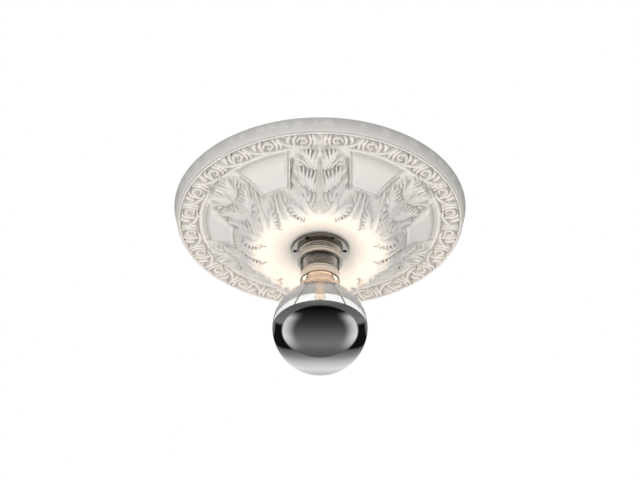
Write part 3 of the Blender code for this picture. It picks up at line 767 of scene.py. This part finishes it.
def rose_drop(radius, angle):
    """Drop of the carved face in millimetres at a radius and an angle in degrees."""
    crest = along(radius, CREST)
    height = crest - along(radius, GROUND_DEPTH)
    fold = np.abs((angle + 0.5 * LEAF_PITCH) % LEAF_PITCH - 0.5 * LEAF_PITCH)
    turn = np.radians(fold)
    across, up = radius * np.sin(turn), radius * np.cos(turn)
    side = np.radians(0.5 * LEAF_PITCH - fold)
    p_across, p_up = radius * np.sin(side), radius * np.cos(side)
    tablet(height, radius, across)
    palmette_half(height, crest, p_across, p_up)
    rolled_leaf(height, crest, across, up)
    leaf_half(height, crest, radius, across, up)
    ledge = (radius > TIP_RADIUS - 1.2) & (radius < SCROLL_INNER)
    height[ledge] = np.maximum(height, LEDGE_DROP)[ledge]
    height[radius >= SCROLL_INNER] = SCROLL_GROUND_DROP
    behind = (radius > TIP_RADIUS) & (radius < SCROLL_INNER + 2.5) & (across < TIP_WIDTH)
    height[behind] = TIP_HOLLOW_DROP
    belt = np.flatnonzero((radius > SCROLL_INNER) & (radius < SCROLL_OUTER))
    run = np.abs((angle[belt] + 180.0) % 360.0 - 180.0)
    ring = height[belt]
    level = np.full(belt.shape, SCROLL_DROP)
    for shift in (-1, 0, 1):
        offset = run % SCROLL_PITCH - 0.5 * SCROLL_PITCH + shift * SCROLL_PITCH
        scroll_across = SCROLL_RADIUS * np.radians(offset)
        scroll_unit(ring, level, scroll_across, radius[belt] - SCROLL_RADIUS)
    height[belt] = ring
    height[radius <= FLANGE_SEAT_RADIUS] = FLANGE_SEAT_DROP
    return height


# Operators

class ROSE_OT_cast(bpy.types.Operator):
    """Cast the rose: spin its half section and press the carved relief into its face"""

    bl_idname = "rose.cast"
    bl_label = "Cast the rose"

    def execute(self, context):
        sizes = context.scene.rose_sizes
        step = sizes.ring_step / MM
        back = [(0, 0), (60, 0), (110, 0), (140, 0), (ROSE_RADIUS - 0.7, 0),
                (ROSE_RADIUS, 0.7), (ROSE_RADIUS - 1.0, 5.5), (ROSE_RADIUS - 2.1, 10.5)]
        lip = arc((RIM_GROOVE_RADIUS + 0.1, RIM_GROOVE_DROP - 0.8), 0.7, 20, 120, 4)
        groove_foot = [(RIM_GROOVE_RADIUS - 0.35, RIM_GROOVE_DROP - 1.6)]
        bead = arc((BEAD_RADIUS, BEAD_DROP - 1.1), 1.1, -20, 200, 8)
        foot = [(SCROLL_OUTER + 0.25, BEAD_DROP - 1.9)]
        carved = np.arange(SCROLL_OUTER, RELIEF_START, -step)
        boss = np.arange(RELIEF_START, FLANGE_SEAT_RADIUS + 0.4, -1.6)
        seat = (FLANGE_SEAT_RADIUS + 0.1, FLANGE_SEAT_RADIUS, 20, 8, 0)
        face = [(r, BEAD_DROP) for r in (*carved, *boss, *seat)]
        bm = self.turn([*back, *lip, *groove_foot, *bead, *foot, *face], sizes.columns)
        edge = (SCROLL_OUTER + 0.1) * MM
        relief = [v for v in bm.verts if v.co.xy.length < edge and v.co.z < -MM]
        place = np.array([v.co.xy for v in relief]) / MM
        angle = np.degrees(np.arctan2(place[:, 0], -place[:, 1]))
        drops = rose_drop(np.hypot(place[:, 0], place[:, 1]), angle)
        bm.verts.index_update()
        self.thin_rim(bm, relief, sizes.rim_columns)
        for vert, drop in zip(relief, drops):
            vert.co.z = -drop * MM
        piece = finish_mesh(bm, "cast_rose", painted_plaster(), angle=60.0, slot="plaster")
        thin = piece.modifiers.new("thin flat parts", "DECIMATE")
        count = sum(len(f.vertices) - 2 for f in piece.data.polygons)
        thin.ratio = min(1.0, sizes.triangles / count)
        settle(piece)
        piece.data.shade_smooth()
        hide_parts("plaster_rose")
        return {"FINISHED"}

    @staticmethod
    def turn(outline, columns):
        """Turn the half section with a Screw modifier, which is quick for many columns."""
        mesh = bpy.data.meshes.new("half_section")
        points = [(r * MM, 0, -drop * MM) for r, drop in outline]
        mesh.from_pydata(points, [(i, i + 1) for i in range(len(points) - 1)], [])
        blank = bpy.data.objects.new("half_section", mesh)
        bpy.context.scene.collection.objects.link(blank)
        screw = blank.modifiers.new("turn", "SCREW")
        screw.steps = screw.render_steps = columns
        screw.use_merge_vertices = True
        screw.merge_threshold = 1e-5
        settle(blank)
        bm = bmesh.new()
        bm.from_mesh(blank.data)
        bpy.data.objects.remove(blank, do_unlink=True)
        return bm

    @staticmethod
    def thin_rim(bm, relief, columns):
        """Weld the columns of the plain rim and back together."""
        kept = set(relief)
        step = math.tau / columns
        posts = {}
        for vert in bm.verts:
            if vert in kept:
                continue
            turn = math.atan2(vert.co.y, vert.co.x) / step
            ring = (round(vert.co.xy.length / MM, 2), round(vert.co.z / MM, 2))
            key = (ring, round(turn) % columns)
            posts.setdefault(key, []).append((abs(turn - round(turn)), vert.index, vert))
        targets = {}
        for group in posts.values():
            group.sort()
            targets.update({vert: group[0][2] for _, _, vert in group[1:]})
        bmesh.ops.weld_verts(bm, targetmap=targets)


class ROSE_OT_flange(bpy.types.Operator):
    """Turn the round flange of the lampholder and sink its screw holes"""

    bl_idname = "rose.flange"
    bl_label = "Turn the flange"

    def execute(self, context):
        top = FLANGE_SEAT_DROP + GAP
        face = top + FLANGE_THICKNESS
        rim = arc((FLANGE_RADIUS - 0.7, top + 0.7), 0.7, -90, 60, 5)
        outline = [(0, top), *rim, (FLANGE_FACE_RADIUS + 0.9, face - 0.55),
                   *arc((FLANGE_FACE_RADIUS, face - 0.5), 0.5, 20, 90, 3),
                   (22.6, face), (21.9, face - 0.35), (21.2, face), (10, face), (0, face)]
        bm = bmesh.new()
        spin_outline(bm, outline, context.scene.holder_sizes.steps)
        piece = finish_mesh(bm, "flange_plate", bright_nickel(), slot="polished_metal")
        clear, sink = SCREW_SHANK_RADIUS + GAP, SCREW_HEAD_RADIUS + GAP
        plug = ((0, top - 1), (clear, top - 1), (clear, top + 1.0), (sink, top + 1.6),
                (sink, face + 1), (0, face + 1))
        drill = bmesh.new()
        for centre in screw_places():
            spin_outline(drill, plug, 20, centre=centre)
        carve(piece, cutter_from(drill, "countersinks"))
        piece.data.set_sharp_from_angle(angle=math.radians(30))
        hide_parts("holder_flange")
        return {"FINISHED"}


class ROSE_OT_screws(bpy.types.Operator):
    """Turn the countersunk screws of the flange and punch their cross recess"""

    bl_idname = "rose.screws"
    bl_label = "Turn the screws"

    def execute(self, context):
        top = FLANGE_SEAT_DROP + GAP
        face = top + FLANGE_THICKNESS - GAP
        tip = FLANGE_SEAT_DROP - SCREW_LENGTH
        steel = black_steel()
        thread = []
        drop = tip + 2.4
        while drop < top + 0.6:
            thread += [(SCREW_SHANK_RADIUS - 0.3, drop), (SCREW_SHANK_RADIUS, drop + 0.4)]
            drop += 0.8
        head = [(SCREW_SHANK_RADIUS, top + 1.2), (SCREW_HEAD_RADIUS, top + 1.9),
                (SCREW_HEAD_RADIUS, face - 0.25), (SCREW_HEAD_RADIUS - 0.3, face), (0, face)]
        depth = context.scene.holder_sizes.recess
        for i, (x, y) in enumerate(screw_places()):
            bm = bmesh.new()
            spin_outline(bm, [(0, tip), *thread, *head], 20, centre=(x, y))
            piece = finish_mesh(bm, f"flange_screw_head_{i + 1}", steel, slot="dark_screw")
            cross = bmesh.new()
            for width, length in ((0.55, 2.3), (2.3, 0.55)):
                size = Matrix.Diagonal((width * MM, length * MM, 2 * depth, 1))
                place = Matrix.Translation((x * MM, y * MM, -face * MM))
                bmesh.ops.create_cube(cross, size=1.0, matrix=place @ size)
            blades = cutter_from(cross, "cross_recess")
            taken = piece.modifiers.new("recess", "BOOLEAN")
            taken.operation, taken.object, taken.solver = "DIFFERENCE", blades, "EXACT"
            taken.use_self = True
            settle(piece)
            bpy.data.objects.remove(blades, do_unlink=True)
            piece.data.set_sharp_from_angle(angle=math.radians(30))
            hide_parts(f"flange_screw_{i + 1}")
        return {"FINISHED"}


class ROSE_OT_sleeve(bpy.types.Operator):
    """Draw the sleeve of the lampholder, roll its thread and cut the latch slot"""

    bl_idname = "rose.sleeve"
    bl_label = "Draw the sleeve"

    def execute(self, context):
        sizes = context.scene.holder_sizes
        pitch = sizes.sleeve_pitch / MM
        top = FLANGE_SEAT_DROP + FLANGE_THICKNESS + 2 * GAP
        inner = SLEEVE_RADIUS - SLEEVE_WALL
        wall = np.arange(SLEEVE_THREAD_TOP - pitch, SLEEVE_THREAD_END + pitch, pitch / 8)
        outline = [(0, top), (SLEEVE_RADIUS - 0.4, top), (SLEEVE_RADIUS, top + 0.4),
                   *((SLEEVE_RADIUS, drop) for drop in wall),
                   (SLEEVE_RADIUS, SLEEVE_GROOVE_DROP - 0.5),
                   (SLEEVE_RADIUS - 0.6, SLEEVE_GROOVE_DROP - 0.2),
                   (SLEEVE_RADIUS - 0.6, SLEEVE_GROOVE_DROP + 0.2),
                   (SLEEVE_RADIUS, SLEEVE_GROOVE_DROP + 0.5),
                   (SLEEVE_RADIUS + 0.15, SLEEVE_MOUTH_DROP - 3.0),
                   *arc((SLEEVE_RADIUS + 0.2, SLEEVE_MOUTH_DROP - 0.6), 0.6, 0, 90, 4),
                   (inner + 0.3, SLEEVE_MOUTH_DROP), (inner, SLEEVE_MOUTH_DROP - 0.3),
                   (inner, top + SLEEVE_WALL + 0.5), (inner - 0.5, top + SLEEVE_WALL),
                   (0, top + SLEEVE_WALL)]
        bm = bmesh.new()
        spin_outline(bm, outline, sizes.steps)
        press_thread(bm, SLEEVE_THREAD_TOP, SLEEVE_THREAD_END, pitch, sizes.thread_depth / MM,
                     SLEEVE_RADIUS - 0.5)
        piece = finish_mesh(bm, "threaded_sleeve", bright_nickel(), angle=50.0,
                            slot="polished_metal")
        turn = math.radians(SLOT_ANGLE)
        out = Vector((math.sin(turn), -math.cos(turn), 0)) * SLEEVE_RADIUS * MM
        place = Matrix.Translation(out + Vector((0, 0, -SLOT_DROP * MM)))
        size = Matrix.Diagonal((SLOT_WIDTH * MM, 4 * MM, SLOT_HEIGHT * MM, 1))
        slot = bmesh.new()
        bmesh.ops.create_cube(slot, size=1.0, matrix=place @ Matrix.Rotation(turn, 4, "Z") @ size)
        upright = [e for e in slot.edges
                   if abs((e.verts[0].co - e.verts[1].co).normalized().dot(out.normalized())) > 0.9]
        bmesh.ops.bevel(slot, geom=upright, offset=0.5 * MM, segments=3, affect="EDGES",
                        profile=0.5, material=-1)
        carve(piece, cutter_from(slot, "latch_slot"))
        piece.data.set_sharp_from_angle(angle=math.radians(50))
        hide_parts("holder_sleeve")
        return {"FINISHED"}


class ROSE_OT_ring(bpy.types.Operator):
    """Turn the threaded ring that clamps a shade on the sleeve"""

    bl_idname = "rose.ring"
    bl_label = "Turn the shade ring"

    def execute(self, context):
        sizes = context.scene.holder_sizes
        pitch = sizes.ring_pitch / MM
        bore = SLEEVE_RADIUS + GAP
        low = RING_TOP_DROP + RING_HEIGHT
        lip = low - RING_LIP_HEIGHT
        wall = np.arange(RING_TOP_DROP + 0.4, lip - 0.6, pitch / 8)
        outline = [(bore, RING_TOP_DROP), (RING_RADIUS - 0.4, RING_TOP_DROP),
                   *((RING_RADIUS, drop) for drop in wall), (RING_RADIUS - 0.5, lip - 0.5),
                   *arc((RING_RADIUS - 0.1, lip + 0.8), 0.8, -80, 0, 4),
                   *arc((RING_RADIUS - 0.1, low - 0.9), 0.8, 0, 80, 4), (bore + 0.2, low),
                   (bore, low - 0.2)]
        bm = bmesh.new()
        spin_outline(bm, outline, sizes.steps, closed=True)
        press_thread(bm, RING_TOP_DROP + 0.5, lip - 0.7, pitch, sizes.thread_depth / MM,
                     RING_RADIUS - 0.3)
        piece = finish_mesh(bm, "ribbed_shade_ring", bright_nickel(), angle=50.0,
                            slot="polished_metal")
        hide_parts("shade_ring")
        return {"FINISHED"}


class ROSE_OT_core(bpy.types.Operator):
    """Press the porcelain core that takes the screw cap"""

    bl_idname = "rose.core"
    bl_label = "Press the core"

    def execute(self, context):
        top = FLANGE_SEAT_DROP + FLANGE_THICKNESS + 3 * GAP + SLEEVE_WALL
        mouth = CORE_MOUTH_DROP
        outline = [(0, top), (CORE_RADIUS - 0.8, top), (CORE_RADIUS, top + 0.8),
                   *arc((CORE_RADIUS - 0.8, mouth - 0.8), 0.8, 0, 90, 4),
                   *arc((CORE_BORE + 0.8, mouth - 0.8), 0.8, 90, 180, 4),
                   (CORE_BORE, CAP_TOP_DROP - GAP + 1.0), (CORE_BORE - 1.0, CAP_TOP_DROP - GAP),
                   (0, CAP_TOP_DROP - GAP)]
        bm = bmesh.new()
        spin_outline(bm, outline, context.scene.holder_sizes.steps)
        piece = finish_mesh(bm, "porcelain_core", glazed_porcelain(), slot="porcelain")
        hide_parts("holder_core")
        return {"FINISHED"}


class ROSE_OT_cap(bpy.types.Operator):
    """Roll the threaded cap of the bulb, with its insulator and contact"""

    bl_idname = "rose.cap"
    bl_label = "Roll the cap"

    def execute(self, context):
        pitch = context.scene.bulb_sizes.cap_pitch / MM
        steps = context.scene.holder_sizes.steps
        end = CAP_FOOT_DROP - 2.6
        wall = np.arange(CAP_SHELL_DROP, end, pitch / 10)
        outline = [(9.0, CAP_SHELL_DROP - 0.6), (CAP_RADIUS - 1.4, CAP_SHELL_DROP - 0.4),
                   *((CAP_RADIUS, drop) for drop in wall), (CAP_RADIUS, CAP_FOOT_DROP),
                   (CAP_RADIUS - 0.4, CAP_FOOT_DROP), (CAP_RADIUS - 1.8, CAP_FOOT_DROP - 3.0),
                   (CAP_RADIUS - 1.8, CAP_SHELL_DROP + 0.4), (9.0, CAP_SHELL_DROP + 0.2)]
        bm = bmesh.new()
        spin_outline(bm, outline, steps, closed=True)
        press_thread(bm, CAP_SHELL_DROP, end, pitch, 1.15, CAP_RADIUS - 0.3, power=1.3)
        shell = finish_mesh(bm, "screw_cap", nickelled_brass(), angle=50.0, slot="cap_metal")
        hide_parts("bulb_cap")

        bm = bmesh.new()
        spin_outline(bm, [(0, CAP_TOP_DROP + 1.2), (5.0, CAP_TOP_DROP + 1.2),
                          (5.6, CAP_TOP_DROP + 1.8), (9.4, CAP_SHELL_DROP - 1.0),
                          (8.9, CAP_SHELL_DROP), (0, CAP_SHELL_DROP)], steps)
        finish_mesh(bm, "cap_insulator", black_insulator(), slot="cap_metal")

        bm = bmesh.new()
        spin_outline(bm, [(0, CAP_TOP_DROP), (2.0, CAP_TOP_DROP + 0.1), (3.6, CAP_TOP_DROP + 0.5),
                          (4.6, CAP_TOP_DROP + 1.1), (0, CAP_TOP_DROP + 1.1)], 48)
        finish_mesh(bm, "centre_contact", bare_brass(), slot="cap_metal")
        return {"FINISHED"}


class ROSE_OT_bulb(bpy.types.Operator):
    """Blow the globe, coat its lower half with silver and mount the stem and filament"""

    bl_idname = "rose.bulb"
    bl_label = "Blow the bulb"

    def execute(self, context):
        sizes = context.scene.bulb_sizes
        wall = sizes.wall / MM
        outer = self.outline(0.0)
        inner = self.outline(wall)
        bm = bmesh.new()
        spin_outline(bm, [*outer, *reversed(inner[1:])], 96)
        equator = -BULB_CENTRE_DROP * MM + sizes.coat_edge
        centre = Vector((0, 0, -BULB_CENTRE_DROP * MM))
        for face in bm.faces:
            middle = face.calc_center_median()
            out = (middle - centre).length / MM > BULB_RADIUS - 0.5 * wall
            face.material_index = int(middle.z < equator and out)
        glass = finish_mesh(bm, "globe_glass", clear_glass(), silver_mirror(), slot="bulb_glass")
        glass.visible_shadow = False
        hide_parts("bulb_glass")
        self.mount(context)
        return {"FINISHED"}

    @staticmethod
    def outline(inset):
        """Neck, fillet and globe, set in by a wall, from the cap to the lowest point."""
        radius = BULB_RADIUS - inset
        neck = NECK_RADIUS - inset
        fillet = NECK_FILLET + inset
        out = neck + fillet
        below = math.sqrt((radius + fillet) ** 2 - out ** 2)
        middle = BULB_CENTRE_DROP - below
        top = CAP_FOOT_DROP + GAP + inset
        points = [(0, top), (CAP_RADIUS - 1.5 - inset, top)]
        points += arc((neck - 2.4, top + 3.0), 2.4, -70, 0, 5)
        points.append((neck, middle))
        swing = math.degrees(math.atan2(below, out))
        points += arc((out, middle), fillet, 180, 180 - swing, 9)[1:]
        start = math.degrees(math.atan2(-below, out))
        globe = arc((0, BULB_CENTRE_DROP), radius, start, 0, 22)[1:]
        points += globe + arc((0, BULB_CENTRE_DROP), radius, 0, 90, 28)[1:-1]
        points.append((0, BULB_CENTRE_DROP + radius))
        return points

    def mount(self, context):
        """Glass stem with its leads, supports and coiled filament, sealed inside the globe."""
        top = CAP_FOOT_DROP + 2.0
        stem = [(0, top), (10.5, top), (10.0, top + 1.0), (6.4, top + 7.0), (4.2, top + 14.0),
                (3.4, top + 22.0), (3.2, top + 30.0), (2.2, top + 33.0), (1.6, top + 40.0),
                (2.3, top + 42.5), (1.8, top + 44.5), (0, top + 45.0)]
        bm = bmesh.new()
        spin_outline(bm, stem, 48)
        finish_mesh(bm, "glass_stem", lead_glass(), angle=60.0, slot="bulb_glass")
        wire = nickel_wire()
        press = top + 31.0
        level = BULB_CENTRE_DROP - 6.0
        spread = 15.0
        for side in (-1, 1):
            points = [(side * 1.8, 0, press - 14), (side * 2.2, 0, press), (side * 6, 0, level - 14),
                      (side * spread, 0, level)]
            self.wire(f"lead_wire_{'left' if side < 0 else 'right'}", points, 0.35, wire)
        for i, turn in enumerate((-50, -90, -130)):
            t = math.radians(turn)
            end = (spread * math.cos(t), spread * math.sin(t), level)
            points = [(0, 0, top + 43.5), (0.5 * end[0], 0.5 * end[1], level - 1.5), end]
            self.wire(f"filament_support_{i + 1}", points, 0.15, wire)
        turns = context.scene.bulb_sizes.filament_turns
        coil = []
        for i in range(turns * 8 + 1):
            share = i / (turns * 8)
            t = math.radians(-180 * share)
            roll = math.tau * share * turns
            out = spread + 0.45 * math.cos(roll)
            coil.append((-out * math.cos(t), out * math.sin(t), level + 0.45 * math.sin(roll)))
        self.wire("coiled_filament", coil, 0.09, tungsten(), sides=2)

    @staticmethod
    def wire(name, points, radius, finish, sides=3):
        """A round wire through (x, y, drop) points in millimetres, kept as a mesh."""
        path = bpy.data.curves.new(name, "CURVE")
        path.dimensions = "3D"
        path.bevel_depth = radius * MM
        path.bevel_resolution = sides
        path.use_fill_caps = True
        line = path.splines.new("POLY")
        line.points.add(len(points) - 1)
        for point, (x, y, drop) in zip(line.points, points):
            point.co = (x * MM, y * MM, -drop * MM, 1.0)
        loose = bpy.data.objects.new(name, path)
        bpy.context.scene.collection.objects.link(loose)
        bpy.context.view_layer.update()
        graph = bpy.context.evaluated_depsgraph_get()
        bm = bmesh.new()
        bm.from_mesh(loose.evaluated_get(graph).to_mesh())
        bpy.data.objects.remove(loose, do_unlink=True)
        bpy.data.curves.remove(path)
        finish_mesh(bm, name, finish, angle=60.0, slot="cap_metal")


class ROSE_OT_studio(bpy.types.Operator):
    """Set out the pale studio, its lights and the camera"""

    bl_idname = "rose.studio"
    bl_label = "Set out the studio"

    def execute(self, context):
        scene = context.scene
        tilt = math.radians(PHOTO_ELEVATION)
        look = Vector((0, math.cos(tilt), -math.sin(tilt)))
        up = Vector((0, math.sin(tilt), math.cos(tilt)))
        self.camera(scene, look, up)
        self.floor()
        self.backdrop()
        self.reflections(look, up)
        self.lights()
        scene.view_settings.view_transform = "Standard"
        return {"FINISHED"}

    @staticmethod
    def camera(scene, look, up):
        """Camera at the angle of the photograph, looking a little below the rose's centre."""
        lens = bpy.data.cameras.new("photo_camera")
        lens.sensor_width = 36.0
        lens.lens = lens.sensor_width * PHOTO_SCALE * PHOTO_DISTANCE / PHOTO_WIDTH
        lens.clip_end = 100.0
        camera = bpy.data.objects.new("photo_camera", lens)
        scene.collection.objects.link(camera)
        camera.location = -PHOTO_DISTANCE * look
        aim = -PHOTO_CENTRE_BELOW * up - camera.location
        camera.rotation_euler = aim.to_track_quat("-Z", "Y").to_euler()
        scene.camera = camera

    @staticmethod
    def stage_piece(name, bm, finish):
        """A stage object with one material."""
        mesh = bpy.data.meshes.new(name)
        bm.to_mesh(mesh)
        bm.free()
        made = bpy.data.objects.new(name, mesh)
        bpy.context.scene.collection.objects.link(made)
        mesh.materials.append(finish)
        return made

    def floor(self):
        """Plain pale floor, well below the rose."""
        bm = bmesh.new()
        bmesh.ops.create_circle(bm, cap_ends=True, segments=64, radius=FLOOR_RADIUS)
        bmesh.ops.translate(bm, verts=bm.verts, vec=(0, 0, -FLOOR_DROP))
        made, _, _ = new_material("pale_studio_floor", colours().floor, 0.9)
        floor = self.stage_piece("studio_floor", bm, made)
        floor.visible_glossy = False

    def backdrop(self):
        """White surround behind the rose and, for the soft light, a dim world."""
        world = bpy.data.worlds.new("soft_surround")
        bpy.context.scene.world = world
        world.use_nodes = True
        base = world.node_tree.nodes["Background"]
        base.inputs["Color"].default_value = (1, 1, 1, 1)
        base.inputs["Strength"].default_value = SURROUND_STRENGTH
        made = bpy.data.materials.new("white_surround")
        made.use_nodes = True
        made.node_tree.nodes.clear()
        glow = add(made.node_tree, "ShaderNodeEmission", {"Strength": 1.0})
        add(made.node_tree, "ShaderNodeOutputMaterial", {"Surface": glow.outputs[0]})
        bm = bmesh.new()
        bmesh.ops.create_icosphere(bm, subdivisions=3, radius=DOME_RADIUS)
        wall = self.stage_piece("white_surround", bm, made)
        wall.visible_diffuse = wall.visible_glossy = wall.visible_shadow = False

    def reflections(self, look, up):
        """What polished metal and the mirror reflect: dark room, soft boxes and white sweep.

        The half-way direction between a reflected ray and the photographer says where on a
        polished ball the ray shows: across and upright, each from -1 to 1.
        """
        made = bpy.data.materials.new("studio_reflections")
        made.use_nodes = True
        tree = made.node_tree
        tree.nodes.clear()
        place = add(tree, "ShaderNodeTexCoord").outputs["Object"]
        ray = add(tree, "ShaderNodeVectorMath", {0: place}, operation="NORMALIZE")
        halfway = add(tree, "ShaderNodeVectorMath", {0: ray.outputs[0], 1: tuple(look)},
                      operation="SUBTRACT")
        ball = add(tree, "ShaderNodeVectorMath", {0: halfway.outputs[0]}, operation="NORMALIZE")
        across = add(tree, "ShaderNodeVectorMath", {0: ball.outputs[0], 1: (1, 0, 0)},
                     operation="DOT_PRODUCT").outputs["Value"]
        upright = add(tree, "ShaderNodeVectorMath", {0: ball.outputs[0], 1: tuple(up)},
                      operation="DOT_PRODUCT").outputs["Value"]
        side = add(tree, "ShaderNodeMath", {0: across}, operation="ABSOLUTE").outputs[0]
        # edge of the dark room, an ellipse on the ball
        flat = add(tree, "ShaderNodeCombineXYZ", {"X": across, "Y": upright})
        oval = add(tree, "ShaderNodeMapping",
                   {"Vector": flat.outputs[0], "Location": (0, 0.055 / 0.54, 0),
                    "Scale": (1 / 0.785, 1 / 0.54, 1)})
        edge = add(tree, "ShaderNodeVectorMath", {0: oval.outputs[0]}, operation="LENGTH")
        inside = add(tree, "ShaderNodeMapRange",
                     {"Value": edge.outputs["Value"], "From Min": 1.02, "From Max": 0.98})
        room = self.ramp(tree, upright, -0.6, 0.5, ROOM_TONES)
        box_reach = add(tree, "ShaderNodeMapRange",
                        {"Value": edge.outputs["Value"], "From Min": 0.62, "From Max": 1.0},
                        interpolation_type="SMOOTHSTEP")
        box_side = add(tree, "ShaderNodeMapRange",
                       {"Value": side, "From Min": 0.3, "From Max": 0.62},
                       interpolation_type="SMOOTHSTEP")
        box_top = add(tree, "ShaderNodeMapRange",
                      {"Value": upright, "From Min": 0.34, "From Max": 0.2})
        box_low = add(tree, "ShaderNodeMapRange",
                      {"Value": upright, "From Min": -0.46, "From Max": -0.2})
        box = box_reach.outputs[0]
        for part in (box_side, box_top, box_low):
            box = add(tree, "ShaderNodeMath", {0: box, 1: part.outputs[0]},
                      operation="MULTIPLY").outputs[0]
        dark = add(tree, "ShaderNodeMath", {0: box, 1: 0.72, 2: room}, operation="MULTIPLY_ADD")
        # outside the oval: grey ceiling above, black walls beside, white sweep below
        sweep = self.ramp(tree, upright, -1.0, 1.0, SWEEP_TONES)
        wall = add(tree, "ShaderNodeMapRange",
                   {"Value": side, "From Min": 0.955, "From Max": 0.93})
        wall_top = add(tree, "ShaderNodeMapRange",
                       {"Value": upright, "From Min": 0.09, "From Max": 0.03})
        wall_low = add(tree, "ShaderNodeMapRange",
                       {"Value": upright, "From Min": -0.47, "From Max": -0.43})
        black = wall.outputs[0]
        for part in (wall_top, wall_low):
            black = add(tree, "ShaderNodeMath", {0: black, 1: part.outputs[0]},
                        operation="MULTIPLY").outputs[0]
        outside = add(tree, "ShaderNodeMix", {"Factor": black, "A": sweep, "B": 0.008})
        tone = add(tree, "ShaderNodeMix", {"Factor": inside.outputs[0],
                                           "A": outside.outputs["Result"], "B": dark.outputs[0]})
        glow = add(tree, "ShaderNodeEmission", {"Strength": tone.outputs["Result"]})
        add(tree, "ShaderNodeOutputMaterial", {"Surface": glow.outputs[0]})
        bm = bmesh.new()
        bmesh.ops.create_icosphere(bm, subdivisions=4, radius=0.9 * DOME_RADIUS)
        dome = self.stage_piece("studio_reflections", bm, made)
        dome.visible_camera = dome.visible_diffuse = False
        dome.visible_transmission = dome.visible_shadow = False

    @staticmethod
    def ramp(tree, value, low, high, tones):
        """Brightness from a few (place, tone) stops, with tones as seen on the ball."""
        share = add(tree, "ShaderNodeMapRange", {"Value": value, "From Min": low, "From Max": high})
        made = add(tree, "ShaderNodeValToRGB", {"Fac": share.outputs[0]})
        stops = made.color_ramp.elements
        while len(stops) < len(tones):
            stops.new(0.5)
        for stop, (place, tone) in zip(stops, tones):
            stop.position = (place - low) / (high - low)
            level = linear(f"#{tone:02X}{tone:02X}{tone:02X}")[0]
            stop.color = (level, level, level, 1)
        return made.outputs["Color"]

    @staticmethod
    def lights():
        """Soft light from below and in front, and the warm light of the bulb itself."""
        scene = bpy.context.scene
        for name, place, size, power, colour in STUDIO_LIGHTS:
            lamp = bpy.data.lights.new(name, "AREA")
            lamp.shape, lamp.size, lamp.energy = "DISK", size, power
            lamp.color = linear(colour)
            made = bpy.data.objects.new(name, lamp)
            scene.collection.objects.link(made)
            made.location = place
            made.rotation_euler = (-made.location).to_track_quat("-Z", "Y").to_euler()
            made.visible_camera = made.visible_glossy = made.visible_transmission = False
        lamp = bpy.data.lights.new("bulb_glow", "POINT")
        lamp.energy, lamp.shadow_soft_size = GLOW_POWER, 0.018
        lamp.color = linear(colours().glow)
        made = bpy.data.objects.new("bulb_glow", lamp)
        scene.collection.objects.link(made)
        made.location = (0, 0, -GLOW_DROP * MM)
        made.visible_camera = made.visible_glossy = made.visible_transmission = False


# Sidebar and registration

OPERATORS = (ROSE_OT_cast, ROSE_OT_flange, ROSE_OT_screws, ROSE_OT_sleeve, ROSE_OT_ring,
             ROSE_OT_core, ROSE_OT_cap, ROSE_OT_bulb, ROSE_OT_studio)


class ROSE_PT_sidebar(bpy.types.Panel):
    """Sizes, colours and the steps that model the rose"""

    bl_label = "Plaster ceiling rose"
    bl_idname = "ROSE_PT_sidebar"
    bl_space_type = "VIEW_3D"
    bl_region_type = "UI"
    bl_category = "Rose"

    def draw(self, context):
        layout = self.layout
        scene = context.scene
        for group in (scene.rose_sizes, scene.holder_sizes, scene.bulb_sizes, scene.rose_colours):
            box = layout.box()
            for name in group.bl_rna.properties.keys():
                if name not in ("rna_type", "name"):
                    box.prop(group, name)
        for step in OPERATORS:
            layout.operator(step.bl_idname)


CLASSES = (RoseSizes, HolderSizes, BulbSizes, RoseColours, *OPERATORS, ROSE_PT_sidebar)


def register():
    """Register the classes and hang the sizes on the scene."""
    for made in CLASSES:
        bpy.utils.register_class(made)
    bpy.types.Scene.rose_sizes = PointerProperty(type=RoseSizes)
    bpy.types.Scene.holder_sizes = PointerProperty(type=HolderSizes)
    bpy.types.Scene.bulb_sizes = PointerProperty(type=BulbSizes)
    bpy.types.Scene.rose_colours = PointerProperty(type=RoseColours)


def unregister():
    """Take the sizes off the scene and drop the classes."""
    for name in ("rose_sizes", "holder_sizes", "bulb_sizes", "rose_colours"):
        delattr(bpy.types.Scene, name)
    for made in reversed(CLASSES):
        bpy.utils.unregister_class(made)


def main():
    """Model every piece in order."""
    register()
    for step in OPERATORS:
        group, name = step.bl_idname.split(".")
        getattr(getattr(bpy.ops, group), name)()
    bpy.context.view_layer.update()


if __name__ == "__main__":
    main()
